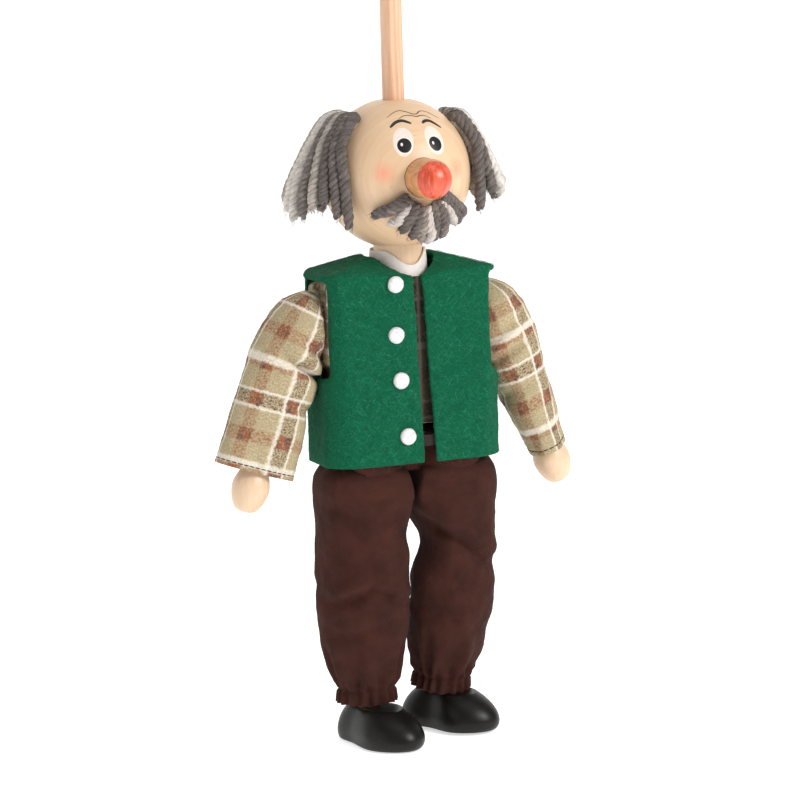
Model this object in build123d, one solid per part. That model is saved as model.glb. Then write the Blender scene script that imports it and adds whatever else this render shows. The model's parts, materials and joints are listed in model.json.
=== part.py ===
from build123d import *
from math import atan2, degrees, sqrt
import os

# Stick puppet of a moustached man. Millimetres, +Z up, the puppet faces -Y, its left is +X.
# The origin is on the rod's axis at the crown of the head. Limbs are placed as they hang.

# ---- rod, head and neck ----
ROD_R = 4.0
ROD_LENGTH = 200.0
ROD_CHAMFER = 1.0
TENON_R = 3.5
HEAD_R = 27.5
CROWN_FLAT_R = 6.5
NECK_FLAT_R = 10.0
NECK_R = 9.0
HEAD_Z = -sqrt(HEAD_R**2 - CROWN_FLAT_R**2)
NECK_TOP = HEAD_Z - sqrt(HEAD_R**2 - NECK_FLAT_R**2)
NOSE_R = 7.2
NOSE_SEAT = 25.0
NOSE_REACH = 34.3
NOSE_PITCH = 0.0
COLLAR_R = 11.8
COLLAR_TOP = -54.6
COLLAR_NOTCH = 7.0

# ---- hair: radius from the head's axis and height above its centre ----
TUFT_ROOT = (17.5, 21.5)
TUFT_BULGE = (34.5, 10.5)
TUFT_ENDS = (42.5, -15.0)
TUFT_FROM = 60.0
TUFT_SPREAD = 72.0

# ---- torso, shirt and vest ----
BLOCK_TOP = -64.6
BLOCK_BOTTOM = -118.0
BLOCK_HALF_X = 27.5
BLOCK_HALF_Y = 12.0
WAIST_HALF_X = 21.0
BLOCK_CHEST = -84.0
BLOCK_ROUND = 4.0
SPINE_DEPTH = 20.0
SHIRT_THICK = 1.0
FELT = 1.5
VEST_HEM = -132.0
VEST_HEM_HALF_X = 34.6
VEST_WAIST_HALF_X = 34.5
VEST_HEM_HALF_Y = 17.3
VEST_CHEST_HALF_Y = 15.2
VEST_CHEST_Z = -61.6
VEST_RIDGE_HALF_Y = 7.0
VEST_CORNER = 13.0
VEST_SHOULDER_X = 35.4
VEST_SHOULDER_Z = -62.2
VEST_NECK_X = 15.0
VEST_NECK_Z = -56.2
STRAP_TIP_Z = -63.7
ARMHOLE_BOTTOM = -103.0
ARMHOLE_TOP = -76.0
ARMHOLE_SLANT = 0.4
ARMHOLE_CORNER = 5.0
SLIT_TOP = (-0.6, 2.6)
SLIT_HEM = (1.6, 6.2)
NECK_HOLE_R = 13.2
BUTTON_R = 3.1
BUTTON_THICK = 1.6
BUTTON_Z = (-65.7, -84.1, -100.8, -121.5)
BUTTON_X = (-7.7, -8.2, -7.0, -5.1)

# ---- trousers ----
SEAT_TOP = -121.0
SEAT_BOTTOM = -137.0
SEAT_HALF_X = 30.2
SEAT_HALF_Y = 15.4
ELASTIC = 1.0
ELASTIC_HIGH = 4.0
LEG_X = 17.8
LEG_HALF_X = 17.2
LEG_HALF_Y = 15.0
HIP_Z = -145.0
KNEE_Z = -183.0
CUFF_TOP = -207.0
CUFF_Z = -217.0
FRILL_Z = -221.5
CUFF_R = 9.6
FRILL_R = 11.4
THREAD_R = 0.7
CLOTH = 1.5
CLEAR = 0.5
KNEE_HOLLOW = 17.0
KNEE_RECESS = 9.0
HIP_ARCH_R = 17.6
# front view of a leg's top, outward and upward from the hip's centre, cut to clear as it splays
THIGH_TOP = ((-17.2, 3.3), (-14.7, 15.0), (12.0, 15.0), (14.6, 12.8), (17.2, 8.0))

# ---- pegs and cords ----
LEG_PEG_R = 5.0
ARM_PEG_R = 4.5
CORD_R = 1.1
KNOT_R = 1.7
KNOT_SOCKET_R = 2.1
PEG_GAP = 4.0

# ---- shoes ----
SHOE_TOP = -223.8
SOLE_Z = -237.2
SHOE_LENGTH = 40.5
SHOE_TOE_HALF = 11.6
SHOE_HEEL_HALF = 8.6
# height above the sole and size of the outline there, drawn in towards the ankle
SHOE_DOME = ((0.0, 0.94), (2.6, 1.0), (6.8, 0.95), (10.6, 0.8), (13.4, 0.62))
SHIN_SOCKET = 5.0

# ---- arms ----
SHOULDER = (33.0, 0.0, -69.0)
SLEEVE_START = 4.0
SLEEVE_NARROW_R = 6.2
SLEEVE_FULL_AT = 14.0
SLEEVE_FULL_R = 11.6
SLEEVE_GAP = 0.5
SLEEVE_LOWER_X = 35.1
ELBOW_HALF = (12.4, 11.0)
ELBOW_HOLLOW = 12.0
ELBOW_RECESS = 8.0
CUFF_RECESS = 12.0
CUFF_AT = 41.5
HAND_R = 7.0
HAND_TIP = 56.8
WRIST_AT = 36.0

# ---- how each side hangs: sign of X, then elbow, hand and foot ----
SIDES = {
    "right": dict(
        sign=-1, armhole=32.4, elbow=(46.0, 0.0, -92.5), hand=(61.0, 0.0, -139.3), cuff=(14.6, 7.0), cuff_turn=0.0,
        knee_bend=0.0, knee_lean=0.0, shin_half_x=17.2, foot_turn=17.0, ankle_from_heel=12.0,
    ),
    "left": dict(
        sign=1, armhole=29.6, elbow=(42.5, 0.0, -94.0), hand=(61.6, 0.0, -142.0), cuff=(6.8, 13.2), cuff_turn=18.0,
        knee_bend=8.0, knee_lean=5.0, shin_half_x=14.8, foot_turn=33.0, ankle_from_heel=15.5,
    ),
}
KNEE_LIMIT = 70.0
ELBOW_LIMIT = 60.0


def x_cylinder(radius, length, centre):
    """A cylinder along X about a centre."""
    return Pos(*centre) * Rot(0, 90, 0) * Cylinder(radius, length)


def turned(profile):
    """A lathe shape about local +Z from (distance along the axis, radius) points."""
    start, end = profile[0][0], profile[-1][0]
    points = [(0, start)] + [(r, s) for s, r in profile] + [(0, end)]
    outline = make_face(Plane.XZ * Polyline(*points, close=True))
    return revolve(outline, Axis.Z)


def between(start, end, turn=0.0):
    """The frame at start whose +Z points to end, turned about that line."""
    direction = Vector(*end) - Vector(*start)
    side = Vector(0, 1, 0).cross(direction)
    return Plane(origin=start, x_dir=side, z_dir=direction).location * Rot(0, 0, turn)


def distance(start, end):
    return (Vector(*end) - Vector(*start)).length


def box_slab(half_x, half_y, bottom, top, corner):
    """An upright block with rounded vertical edges."""
    section = RectangleRounded(2 * half_x, 2 * half_y, corner)
    return extrude(Pos(0, 0, bottom) * section, top - bottom)


def forward(face, reach=60):
    """A prism from a front-view outline towards the puppet's front."""
    return extrude(face, reach, dir=(0, -1, 0))


def cleared(shell, mover, pivot, axis, angles):
    """The shell with the mover's whole swing cut out of it."""
    for angle in angles:
        shell = shell - mover.rotate(Axis(pivot, axis), angle)
    return shell


# ---------------- rod, head, face ----------------
def control_rod():
    """A dowel whose thin lower end runs down inside the head and neck as a spine."""
    spine = BLOCK_TOP - SPINE_DEPTH
    shaft = [(0, TENON_R), (0, ROD_R), (ROD_LENGTH - ROD_CHAMFER, ROD_R), (ROD_LENGTH, ROD_R - ROD_CHAMFER)]
    return turned([(spine, TENON_R), *shaft])


def nose_frame():
    return Pos(0, 0, HEAD_Z) * Rot(90 - NOSE_PITCH, 0, 0)


def nose():
    """A short peg with a domed end, glued in a flat-bottomed seat."""
    shank = turned([(NOSE_SEAT, NOSE_R), (NOSE_REACH, NOSE_R)])
    return nose_frame() * (shank + Pos(0, 0, NOSE_REACH) * Sphere(NOSE_R))


def head_ball():
    """A ball with a flat at the crown and at the neck, bored for the spine."""
    ball = Pos(0, 0, HEAD_Z) * Sphere(HEAD_R)
    ball = ball & Pos(0, 0, NECK_TOP / 2) * Box(80, 80, -NECK_TOP)
    seat = nose_frame() * turned([(NOSE_SEAT, NOSE_R), (NOSE_REACH, NOSE_R)])
    return ball - Pos(0, 0, HEAD_Z) * Cylinder(TENON_R, 80) - seat


def hair_tuft(sign):
    """A bunch of yarn glued high on the side, which flares as it falls."""
    root, bulge, ends = ((r, HEAD_Z + z) for r, z in (TUFT_ROOT, TUFT_BULGE, TUFT_ENDS))
    outer = ThreePointArc(root, bulge, ends)
    inner = Polyline(ends, (20.0, ends[1]), (8.0, HEAD_Z), root)
    wedge = revolve(make_face(Plane.XZ * (outer + inner)), Axis.Z, revolution_arc=TUFT_SPREAD)
    turn = TUFT_FROM - 90 if sign > 0 else -90 - TUFT_FROM - TUFT_SPREAD
    return Rot(0, 0, turn) * wedge - Pos(0, 0, HEAD_Z) * Sphere(HEAD_R)


def moustache():
    """A fan of short yarn ends under the nose, standing off the ball as it falls."""
    fan = Pos(0, -8, HEAD_Z - 6) * Sphere(27.0) - Pos(0, 0, HEAD_Z) * Sphere(HEAD_R)
    half = [(7, -3), (19.5, -15), (16, -18.5), (5, -23.5)]
    spread = make_face(Plane.XZ * Polyline(*half, *[(-x, z) for x, z in reversed(half)], close=True))
    fan = fan & Pos(0, 0, HEAD_Z) * forward(spread)
    return fan - nose()


def neck_dowel():
    return Pos(0, 0, (NECK_TOP + BLOCK_TOP) / 2) * (
        Cylinder(NECK_R, NECK_TOP - BLOCK_TOP) - Cylinder(TENON_R, 40)
    )


# ---------------- torso and clothes ----------------
def body_form(grow, bottom):
    """The block's form: full width at the shoulders, narrower at the waist, all edges along Y eased."""
    wide, waist = BLOCK_HALF_X + grow, WAIST_HALF_X + grow
    front = make_face(Plane.XZ * Polyline(
        (-wide, BLOCK_TOP + grow), (wide, BLOCK_TOP + grow), (wide, BLOCK_CHEST), (waist, bottom),
        (-waist, bottom), (-wide, BLOCK_CHEST), close=True))
    block = extrude(front, BLOCK_HALF_Y + grow, both=True)
    return fillet(block.edges().filter_by(Axis.Y), BLOCK_ROUND)


def torso_block():
    """The wooden body, bored for the spine."""
    bore = Pos(0, 0, BLOCK_TOP - SPINE_DEPTH / 2) * Cylinder(TENON_R, SPINE_DEPTH)
    return body_form(0, BLOCK_BOTTOM) - bore


def shirt_body():
    """The plaid shirt's body, a close shell around the block with an open neck and hem."""
    shell = body_form(SHIRT_THICK, BLOCK_BOTTOM) - body_form(0, BLOCK_BOTTOM)
    shell = shell - Pos(0, 0, BLOCK_TOP) * Cylinder(COLLAR_R, 6)
    return shell - x_cylinder(CORD_R, 80, (0, 0, SHOULDER[2]))


def shirt_collar():
    """A standing band of white cloth around the neck, notched in front."""
    tall = COLLAR_TOP - BLOCK_TOP
    band = Pos(0, 0, BLOCK_TOP + tall / 2) * (Cylinder(COLLAR_R, tall) - Cylinder(NECK_R, tall))
    low, high = COLLAR_TOP - COLLAR_NOTCH, COLLAR_TOP + 1
    notch = make_face(Plane.XZ * Polyline((-1, low), (-4, high), (5, high), (1, low), close=True))
    return band - forward(notch)


def vest_form(inset):
    """The vest's outer form, or its inner form when inset by the felt's thickness."""
    half = [
        (VEST_NECK_X, VEST_NECK_Z - inset), (VEST_SHOULDER_X - inset, VEST_SHOULDER_Z - inset),
        (VEST_WAIST_HALF_X - inset, ARMHOLE_BOTTOM), (VEST_HEM_HALF_X - inset, VEST_HEM),
    ]
    front = make_face(Plane.XZ * Polyline(*half, *[(-x, z) for x, z in reversed(half)], close=True))
    ridge = [(VEST_RIDGE_HALF_Y - inset, VEST_NECK_Z), (VEST_CHEST_HALF_Y - inset, VEST_CHEST_Z - inset),
             (VEST_HEM_HALF_Y - inset, VEST_HEM)]
    side = make_face(Plane.YZ * Polyline(*ridge, *[(-y, z) for y, z in reversed(ridge)], close=True))
    form = extrude(front, 40, both=True) & extrude(side, 50, both=True)
    corner = VEST_CORNER - inset
    return form & box_slab(VEST_SHOULDER_X - inset, VEST_HEM_HALF_Y - inset, VEST_HEM, VEST_NECK_Z, corner)


def vest():
    """One sheet of felt: open in front, with deep armholes and a round neck."""
    felt = vest_form(0) - vest_form(FELT)
    slit = make_face(Plane.XZ * Polyline(
        (SLIT_TOP[0], VEST_NECK_Z + 1), (SLIT_TOP[1], VEST_NECK_Z + 1), (SLIT_HEM[1], VEST_HEM - 1),
        (SLIT_HEM[0], VEST_HEM - 1), close=True))
    felt = felt - forward(slit) - Pos(0, 0, VEST_NECK_Z) * Cylinder(NECK_HOLE_R, 30)
    for hang in SIDES.values():
        sign, edge = hang["sign"], hang["armhole"]
        hole = make_face(Plane.XZ * Polyline(
            (sign * 45, STRAP_TIP_Z), (sign * (edge + ARMHOLE_SLANT), STRAP_TIP_Z),
            (sign * edge, ARMHOLE_TOP), (sign * edge, ARMHOLE_BOTTOM + ARMHOLE_CORNER),
            (sign * (edge + ARMHOLE_CORNER), ARMHOLE_BOTTOM), (sign * 45, ARMHOLE_BOTTOM), close=True))
        felt = felt - extrude(hole, 40, both=True)
    return felt


def front_y(z):
    """Y of the vest's front face at a height."""
    share = (VEST_CHEST_Z - z) / (VEST_CHEST_Z - VEST_HEM)
    return -(VEST_CHEST_HALF_Y + share * (VEST_HEM_HALF_Y - VEST_CHEST_HALF_Y))


def vest_buttons():
    """Four felt discs glued down the edge of the right-hand panel."""
    lean = degrees(atan2(VEST_HEM_HALF_Y - VEST_CHEST_HALF_Y, VEST_CHEST_Z - VEST_HEM))
    disc = Rot(90 - lean, 0, 0) * Pos(0, 0, BUTTON_THICK / 2) * Cylinder(BUTTON_R, BUTTON_THICK)
    return Compound([Pos(x, front_y(z), z) * disc for x, z in zip(BUTTON_X, BUTTON_Z)])


# ---------------- legs ----------------
def hip(sign):
    return (sign * LEG_X, 0, HIP_Z)


def knee(sign):
    return (sign * LEG_X, 0, KNEE_Z)


def leg_prism(grow, bottom, top, sign, half_x=LEG_HALF_X):
    section = Ellipse(half_x + grow, LEG_HALF_Y + grow)
    return extrude(Pos(sign * LEG_X, 0, bottom) * section, top - bottom)


def trouser_seat():
    """The hips of the trousers, arched over the thighs so that they can swing forward and back."""
    seat = box_slab(SEAT_HALF_X, SEAT_HALF_Y, SEAT_BOTTOM, SEAT_TOP, 12) - waist_elastic()
    seat = seat - x_cylinder(HIP_ARCH_R, 80, (0, 0, HIP_Z))
    return seat - hip_cord(-1) - hip_cord(1)


def waist_elastic():
    low, high = SEAT_TOP - ELASTIC_HIGH - 1, SEAT_TOP - 1
    return box_slab(SEAT_HALF_X, SEAT_HALF_Y, low, high, 12) - box_slab(
        SEAT_HALF_X - ELASTIC, SEAT_HALF_Y - ELASTIC, low, high, 11)


def hip_cord(sign):
    """The cord from the block down to the knot."""
    cord = Pos(sign * LEG_X, 0, (BLOCK_BOTTOM + HIP_Z) / 2) * Cylinder(CORD_R, BLOCK_BOTTOM - HIP_Z)
    return cord - knot(hip(sign))


def knot(centre):
    return Pos(*centre) * Sphere(KNOT_R)


def thigh(sign):
    """A dowel with a dished top for the knot and a rounded knee end."""
    length = HIP_Z - KNEE_Z - PEG_GAP
    peg = turned([(0, LEG_PEG_R - 2), (2, LEG_PEG_R), (length - 2, LEG_PEG_R), (length, LEG_PEG_R - 2)])
    return Pos(*hip(sign)) * (Rot(180, 0, 0) * peg - Sphere(KNOT_SOCKET_R))


def leaned(shape, sign, lean):
    """A shape of the lower leg, leaned at the knee towards the puppet's middle."""
    return shape.rotate(Axis(knee(sign), (0, 1, 0)), sign * lean)


def thigh_top(sign):
    """A leg's top, rounded about the hip so that it turns under the arch of the seat."""
    outline = make_face(Plane.XZ * Polyline(
        *[(sign * out, up) for out, up in THIGH_TOP], (sign * LEG_HALF_X, -1), (-sign * LEG_HALF_X, -1),
        close=True))
    top = Pos(*hip(sign)) * extrude(outline, LEG_HALF_Y, both=True)
    top = top & x_cylinder(LEG_HALF_Y, 80, (0, 0, HIP_Z))
    return top & leg_prism(0, HIP_Z - 1, HIP_Z + LEG_HALF_Y, sign)


def trouser_thigh(sign, shin_half_x, lean):
    """The upper part of one trouser leg, open below with room for the knee's bend."""
    leg = leg_prism(0, KNEE_Z, HIP_Z, sign) + thigh_top(sign)
    mover = leaned(leg_prism(CLEAR, FRILL_Z, KNEE_Z, sign, shin_half_x), sign, lean)
    leg = leg - leg_prism(-CLOTH, KNEE_Z, KNEE_Z + KNEE_HOLLOW, sign)
    leg = cleared(leg, mover, knee(sign), (1, 0, 0), (0, 14, 28, 42, 56, KNEE_LIMIT))
    leg = leg - Pos(*hip(sign)) * (Sphere(KNOT_SOCKET_R) + Pos(0, 0, 15) * Cylinder(CORD_R + CLEAR, 30))
    return leg - Pos(sign * LEG_X, 0, HIP_Z - 50) * Cylinder(LEG_PEG_R, 100)


def shin(sign):
    """A dowel glued into the shoe."""
    length = KNEE_Z - PEG_GAP - (SHOE_TOP - SHIN_SOCKET)
    peg = turned([(0, LEG_PEG_R - 2), (2, LEG_PEG_R), (length, LEG_PEG_R)])
    return Pos(sign * LEG_X, 0, KNEE_Z - PEG_GAP) * Rot(180, 0, 0) * peg


def knee_cord(sign, hung):
    """The cord across the knee, bent as the knee hangs."""
    lower = hung(Pos(*knee(sign)) * Pos(0, 0, -PEG_GAP / 2) * Cylinder(CORD_R, PEG_GAP))
    return Pos(*knee(sign)) * (Pos(0, 0, PEG_GAP / 2) * Cylinder(CORD_R, PEG_GAP) + Sphere(CORD_R)) + lower


def ankle_elastic(sign):
    return Pos(sign * LEG_X, 0, CUFF_Z) * Torus(CUFF_R - 2 * THREAD_R, THREAD_R)


def trouser_shin(sign, half_x):
    """The lower part of one trouser leg, drawn in at the ankle with a short frill."""
    leg = leg_prism(0, CUFF_TOP, KNEE_Z - CLEAR, sign, half_x)
    drawn = [(CUFF_TOP, half_x, LEG_HALF_Y), (CUFF_Z, CUFF_R + 0.4, CUFF_R), (FRILL_Z, FRILL_R + 0.4, FRILL_R)]
    sections = [Pos(sign * LEG_X, 0, z) * Ellipse(x, y) for z, x, y in drawn]
    leg = leg + loft(sections, ruled=True) - ankle_elastic(sign)
    leg = leg - leg_prism(-CLOTH, KNEE_Z - KNEE_RECESS, KNEE_Z, sign, half_x)
    return leg - Pos(sign * LEG_X, 0, KNEE_Z - PEG_GAP - 50) * Cylinder(LEG_PEG_R, 100)


def shoe(ankle, heel, turn, peg):
    """A carved shoe: broad round toe, narrower heel, flat sole, highest at the ankle, bored for the shin."""
    toe = SHOE_LENGTH - heel
    side = [(SHOE_HEEL_HALF, heel - 6), (SHOE_HEEL_HALF + 0.6, 0), (SHOE_TOE_HALF, -toe + 12)]
    outline = [(0, heel), *side, (0, -toe), *[(-x, y) for x, y in reversed(side)]]
    levels = [
        Pos(0, 0, up) * make_face(Spline(*[(size * x, size * y) for x, y in outline], periodic=True))
        for up, size in SHOE_DOME
    ]
    return Pos(ankle.X, ankle.Y, ankle.Z - (SHOE_TOP - SOLE_Z)) * Rot(0, 0, turn) * loft(levels) - peg


# ---------------- arms ----------------
def shoulder(sign):
    return (sign * SHOULDER[0], SHOULDER[1], SHOULDER[2])


def shoulder_cord(sign):
    """The cord from the block's side out to its knot."""
    start, end = BLOCK_HALF_X, SHOULDER[0] - KNOT_R
    return x_cylinder(CORD_R, end - start, (sign * (start + end) / 2, 0, SHOULDER[2])) - knot(shoulder(sign))


def upper_arm(length):
    """A peg with rounded ends, dished for the knot."""
    r = ARM_PEG_R
    body = turned([(r, r), (length - PEG_GAP - 2, r), (length - PEG_GAP, r - 2)])
    return body + Pos(0, 0, r) * Sphere(r) - Sphere(KNOT_SOCKET_R)


def forearm_hand():
    """A turned peg whose end swells into a round hand."""
    r = ARM_PEG_R
    profile = [(PEG_GAP, 0), (PEG_GAP, r - 2), (PEG_GAP + 2, r), (WRIST_AT, r)]
    knuckles = [(r, WRIST_AT), (HAND_R, 47.5), (4.6, HAND_TIP - 1.8), (0, HAND_TIP)]
    swell = Spline(*knuckles, tangents=((0, 1), (-1, 0)))
    edge = Polyline((0, HAND_TIP), *[(radius, s) for s, radius in profile])
    return revolve(make_face(Plane.XZ * (edge + swell)), Axis.Z)


def beyond(sign, x):
    """Everything further out than x on one side."""
    return Pos(sign * (x + 60), 0, -100) * Box(120, 120, 200)


def sleeve_lower(cuff, turn, grow=0.0):
    """The outer form below the elbow: round at the elbow, pressed flat at the cuff."""
    first, last = [half + grow for half in ELBOW_HALF], [half + grow for half in cuff]
    middle = [(a + b) / 2 for a, b in zip(first, last)]
    return loft([
        Ellipse(*first),
        Pos(0, 0, CUFF_AT / 2) * Rot(0, 0, turn / 2) * Ellipse(*middle),
        Pos(0, 0, CUFF_AT) * Rot(0, 0, turn) * Ellipse(*last),
    ])


def open_ends(sleeve, cuff, turn):
    """The lower sleeve hollowed at the elbow and at the cuff, and bored for the forearm between."""
    lining = sleeve_lower(cuff, turn, -CLOTH)
    core = Pos(0, 0, CUFF_AT / 2 + (ELBOW_RECESS - CUFF_RECESS) / 2) * Box(
        60, 60, CUFF_AT - ELBOW_RECESS - CUFF_RECESS)
    return sleeve - (lining - core) - Cylinder(ARM_PEG_R, 4 * CUFF_AT)


def sleeve_upper(length, cuff, lower_frame, upper_frame, pivot):
    """The sleeve above the elbow, with room for the forearm's bend."""
    past = length + 6
    outer = turned([(SLEEVE_START, SLEEVE_NARROW_R), (SLEEVE_FULL_AT, SLEEVE_FULL_R), (past, SLEEVE_FULL_R)])
    hollow = Pos(0, 0, length) * Cylinder(SLEEVE_FULL_R - CLOTH, 2 * ELBOW_HOLLOW)
    sleeve = upper_frame * (outer - hollow - Cylinder(ARM_PEG_R, 4 * length))
    mover = lower_frame * (sleeve_lower(cuff, 0, CLEAR) + Pos(0, 0, -CLEAR) * Cylinder(ELBOW_HALF[1], 2))
    return cleared(sleeve, mover, pivot, (-1, 0, 0), (0, 15, 30, 45, ELBOW_LIMIT))


def write(shape, name):
    export_step(shape, f"parts/{name}.step")


def write_arm(side, hang):
    sign = hang["sign"]
    start = shoulder(sign)
    elbow = (sign * hang["elbow"][0], *hang["elbow"][1:])
    hand = (sign * hang["hand"][0], *hang["hand"][1:])
    upper_frame, lower_frame = between(start, elbow), between(elbow, hand)
    length = distance(start, elbow)
    cuff, turn = hang["cuff"], sign * hang["cuff_turn"]
    bend = lower_frame * (Pos(0, 0, PEG_GAP / 2) * Cylinder(CORD_R, PEG_GAP))
    bend = bend + upper_frame * (Pos(0, 0, length - PEG_GAP / 2) * Cylinder(CORD_R, PEG_GAP))
    upper = sleeve_upper(length, cuff, lower_frame, upper_frame, elbow)
    lower = lower_frame * open_ends(sleeve_lower(cuff, turn), cuff, turn)
    write(shoulder_cord(sign), f"shoulder_cord_{side}")
    write(knot(start), f"shoulder_knot_{side}")
    write(upper_frame * upper_arm(length), f"upper_arm_{side}")
    write(upper & beyond(sign, hang["armhole"] + SLEEVE_GAP), f"sleeve_upper_{side}")
    write(bend + Pos(*elbow) * Sphere(CORD_R), f"elbow_cord_{side}")
    write(lower_frame * forearm_hand(), f"forearm_hand_{side}")
    write(lower & beyond(sign, SLEEVE_LOWER_X), f"sleeve_lower_{side}")


def write_leg(side, hang):
    sign, half_x, lean = hang["sign"], hang["shin_half_x"], hang["knee_lean"]

    def hung(shape):
        return leaned(shape, sign, lean).rotate(Axis(knee(sign), (1, 0, 0)), hang["knee_bend"])

    peg = hung(shin(sign))
    ankle = hung(Vertex(sign * LEG_X, 0, SHOE_TOP)).center()
    write(hip_cord(sign), f"hip_cord_{side}")
    write(knot(hip(sign)), f"hip_knot_{side}")
    write(thigh(sign), f"thigh_{side}")
    write(trouser_thigh(sign, half_x, lean), f"trouser_thigh_{side}")
    write(knee_cord(sign, hung), f"knee_cord_{side}")
    write(peg, f"shin_{side}")
    write(hung(trouser_shin(sign, half_x)), f"trouser_shin_{side}")
    write(hung(ankle_elastic(sign)), f"ankle_elastic_{side}")
    write(shoe(ankle, hang["ankle_from_heel"], hang["foot_turn"], peg), f"shoe_{side}")


os.makedirs("parts", exist_ok=True)
write(control_rod(), "control_rod")
write(head_ball(), "head_ball")
write(nose(), "nose")
write(hair_tuft(-1), "hair_tuft_right")
write(hair_tuft(1), "hair_tuft_left")
write(moustache(), "moustache")
write(neck_dowel(), "neck_dowel")
write(torso_block(), "torso_block")
write(shirt_body(), "shirt_body")
write(shirt_collar(), "shirt_collar")
write(vest(), "vest")
write(vest_buttons(), "vest_buttons")
write(trouser_seat(), "trouser_seat")
write(waist_elastic(), "waist_elastic")
for side, hang in SIDES.items():
    write_arm(side, hang)
    write_leg(side, hang)
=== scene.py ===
import json
import math
import bpy
import numpy as np
from mathutils import Matrix, Vector, noise


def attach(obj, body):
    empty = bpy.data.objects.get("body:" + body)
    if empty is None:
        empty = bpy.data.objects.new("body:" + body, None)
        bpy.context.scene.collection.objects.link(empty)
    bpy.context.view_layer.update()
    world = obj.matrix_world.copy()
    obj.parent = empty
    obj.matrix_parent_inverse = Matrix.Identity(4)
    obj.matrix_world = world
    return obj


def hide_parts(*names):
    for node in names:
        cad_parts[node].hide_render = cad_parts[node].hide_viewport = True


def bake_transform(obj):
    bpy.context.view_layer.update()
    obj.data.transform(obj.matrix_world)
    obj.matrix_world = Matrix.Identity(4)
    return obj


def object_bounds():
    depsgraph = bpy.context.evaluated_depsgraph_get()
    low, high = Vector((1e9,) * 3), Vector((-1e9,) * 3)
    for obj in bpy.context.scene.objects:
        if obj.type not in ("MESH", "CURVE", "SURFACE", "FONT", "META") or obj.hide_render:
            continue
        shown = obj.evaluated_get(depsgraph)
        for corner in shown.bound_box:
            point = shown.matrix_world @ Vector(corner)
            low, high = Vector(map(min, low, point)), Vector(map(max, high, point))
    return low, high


# The looks of the stick puppet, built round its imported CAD. Lengths are in millimetres until a mesh
# is made. +Z is up, the puppet faces -Y and its left is +X. Angles round the head are measured from
# the nose, positive towards the puppet's left.

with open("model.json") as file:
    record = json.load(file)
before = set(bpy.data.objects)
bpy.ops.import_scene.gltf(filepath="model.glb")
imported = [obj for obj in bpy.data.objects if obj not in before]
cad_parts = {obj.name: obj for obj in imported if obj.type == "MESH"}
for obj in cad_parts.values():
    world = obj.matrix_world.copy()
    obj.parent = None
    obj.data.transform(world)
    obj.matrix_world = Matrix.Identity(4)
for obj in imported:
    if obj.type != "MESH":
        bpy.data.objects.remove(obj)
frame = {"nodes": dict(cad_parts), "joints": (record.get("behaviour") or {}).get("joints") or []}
CAD_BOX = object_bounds()
MM = 0.001
TURN = 6.28  # about a full turn, for textures and random starts
RNG = np.random.default_rng(11)
SIDES = {"right": -1, "left": 1}
JOINTS = {j["name"]: j for j in frame["joints"]}


# ---------------- measures read from the frame ----------------
def points_of(obj):
    """An object's vertices in millimetres."""
    flat = np.empty(3 * len(obj.data.vertices))
    obj.data.vertices.foreach_get("co", flat)
    return flat.reshape(-1, 3) / MM


def node_points(node):
    return points_of(frame["nodes"][node])


def span(node, axis):
    points = node_points(node)[:, axis]
    return points.min(), points.max()


def pivot(joint):
    return np.array(JOINTS[joint]["pos_m"]) / MM


HEAD_R = span("head_ball", 0)[1]
HEAD = np.array([0, 0, sum(span("nose", 2)) / 2])
NOSE_R = span("nose", 0)[1]
BLOCK_TOP = span("torso_block", 2)[1]


# ---------------- small maths ----------------
def ease(x, low, high):
    """0 below low, 1 above high, smooth between."""
    t = np.clip((np.asarray(x, float) - low) / (high - low), 0, 1)
    return t * t * (3 - 2 * t)


def bell(x, centre, width):
    return np.exp(-(((np.asarray(x, float) - centre) / width) ** 2))


def unit(v):
    v = np.asarray(v, float)
    return v / np.linalg.norm(v, axis=-1, keepdims=True)


def smooth_path(points, count):
    """Evenly timed points on a smooth curve through a few given ones."""
    points = np.asarray(points, float)
    padded = np.vstack([2 * points[0] - points[1], points, 2 * points[-1] - points[-2]])
    time = np.linspace(0, len(points) - 1 - 1e-9, count)
    i = time.astype(int)
    t = (time - i)[:, None]
    a, b, c, d = padded[i], padded[i + 1], padded[i + 2], padded[i + 3]
    return 0.5 * (2 * b + (c - a) * t + (2 * a - 5 * b + 4 * c - d) * t**2 + (3 * b - a - 3 * c + d) * t**3)


def bumps(points, size, octaves=3):
    """Fractal noise from -1 to 1 at each point, its largest features that size in millimetres."""
    flat = np.asarray(points, float).reshape(-1, 3) / size
    values = [noise.fractal(Vector(p), 1.0, 2.0, octaves) for p in flat]
    return np.array(values).reshape(np.shape(points)[:-1])


def on_ball(azimuth, elevation, radius):
    """A point about the head's centre."""
    a, e = np.radians(azimuth), np.radians(elevation)
    flat = radius * np.cos(e)
    return HEAD + np.stack([flat * np.sin(a), -flat * np.cos(a), radius * np.sin(e)], -1)


# ---------------- mesh making ----------------
def mesh_object(name, points, faces, uv=None, tint=None):
    mesh = bpy.data.meshes.new(name)
    mesh.from_pydata((np.asarray(points) * MM).tolist(), [], faces)
    if uv is not None:
        mesh.uv_layers.new(name="cloth").data.foreach_set("uv", np.asarray(uv, np.float32).ravel())
    if tint is not None:
        mesh.attributes.new("tint", "FLOAT", "POINT").data.foreach_set("value", np.asarray(tint, np.float32))
    mesh.shade_smooth()
    obj = bpy.data.objects.new(name, mesh)
    bpy.context.scene.collection.objects.link(obj)
    return obj


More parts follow.
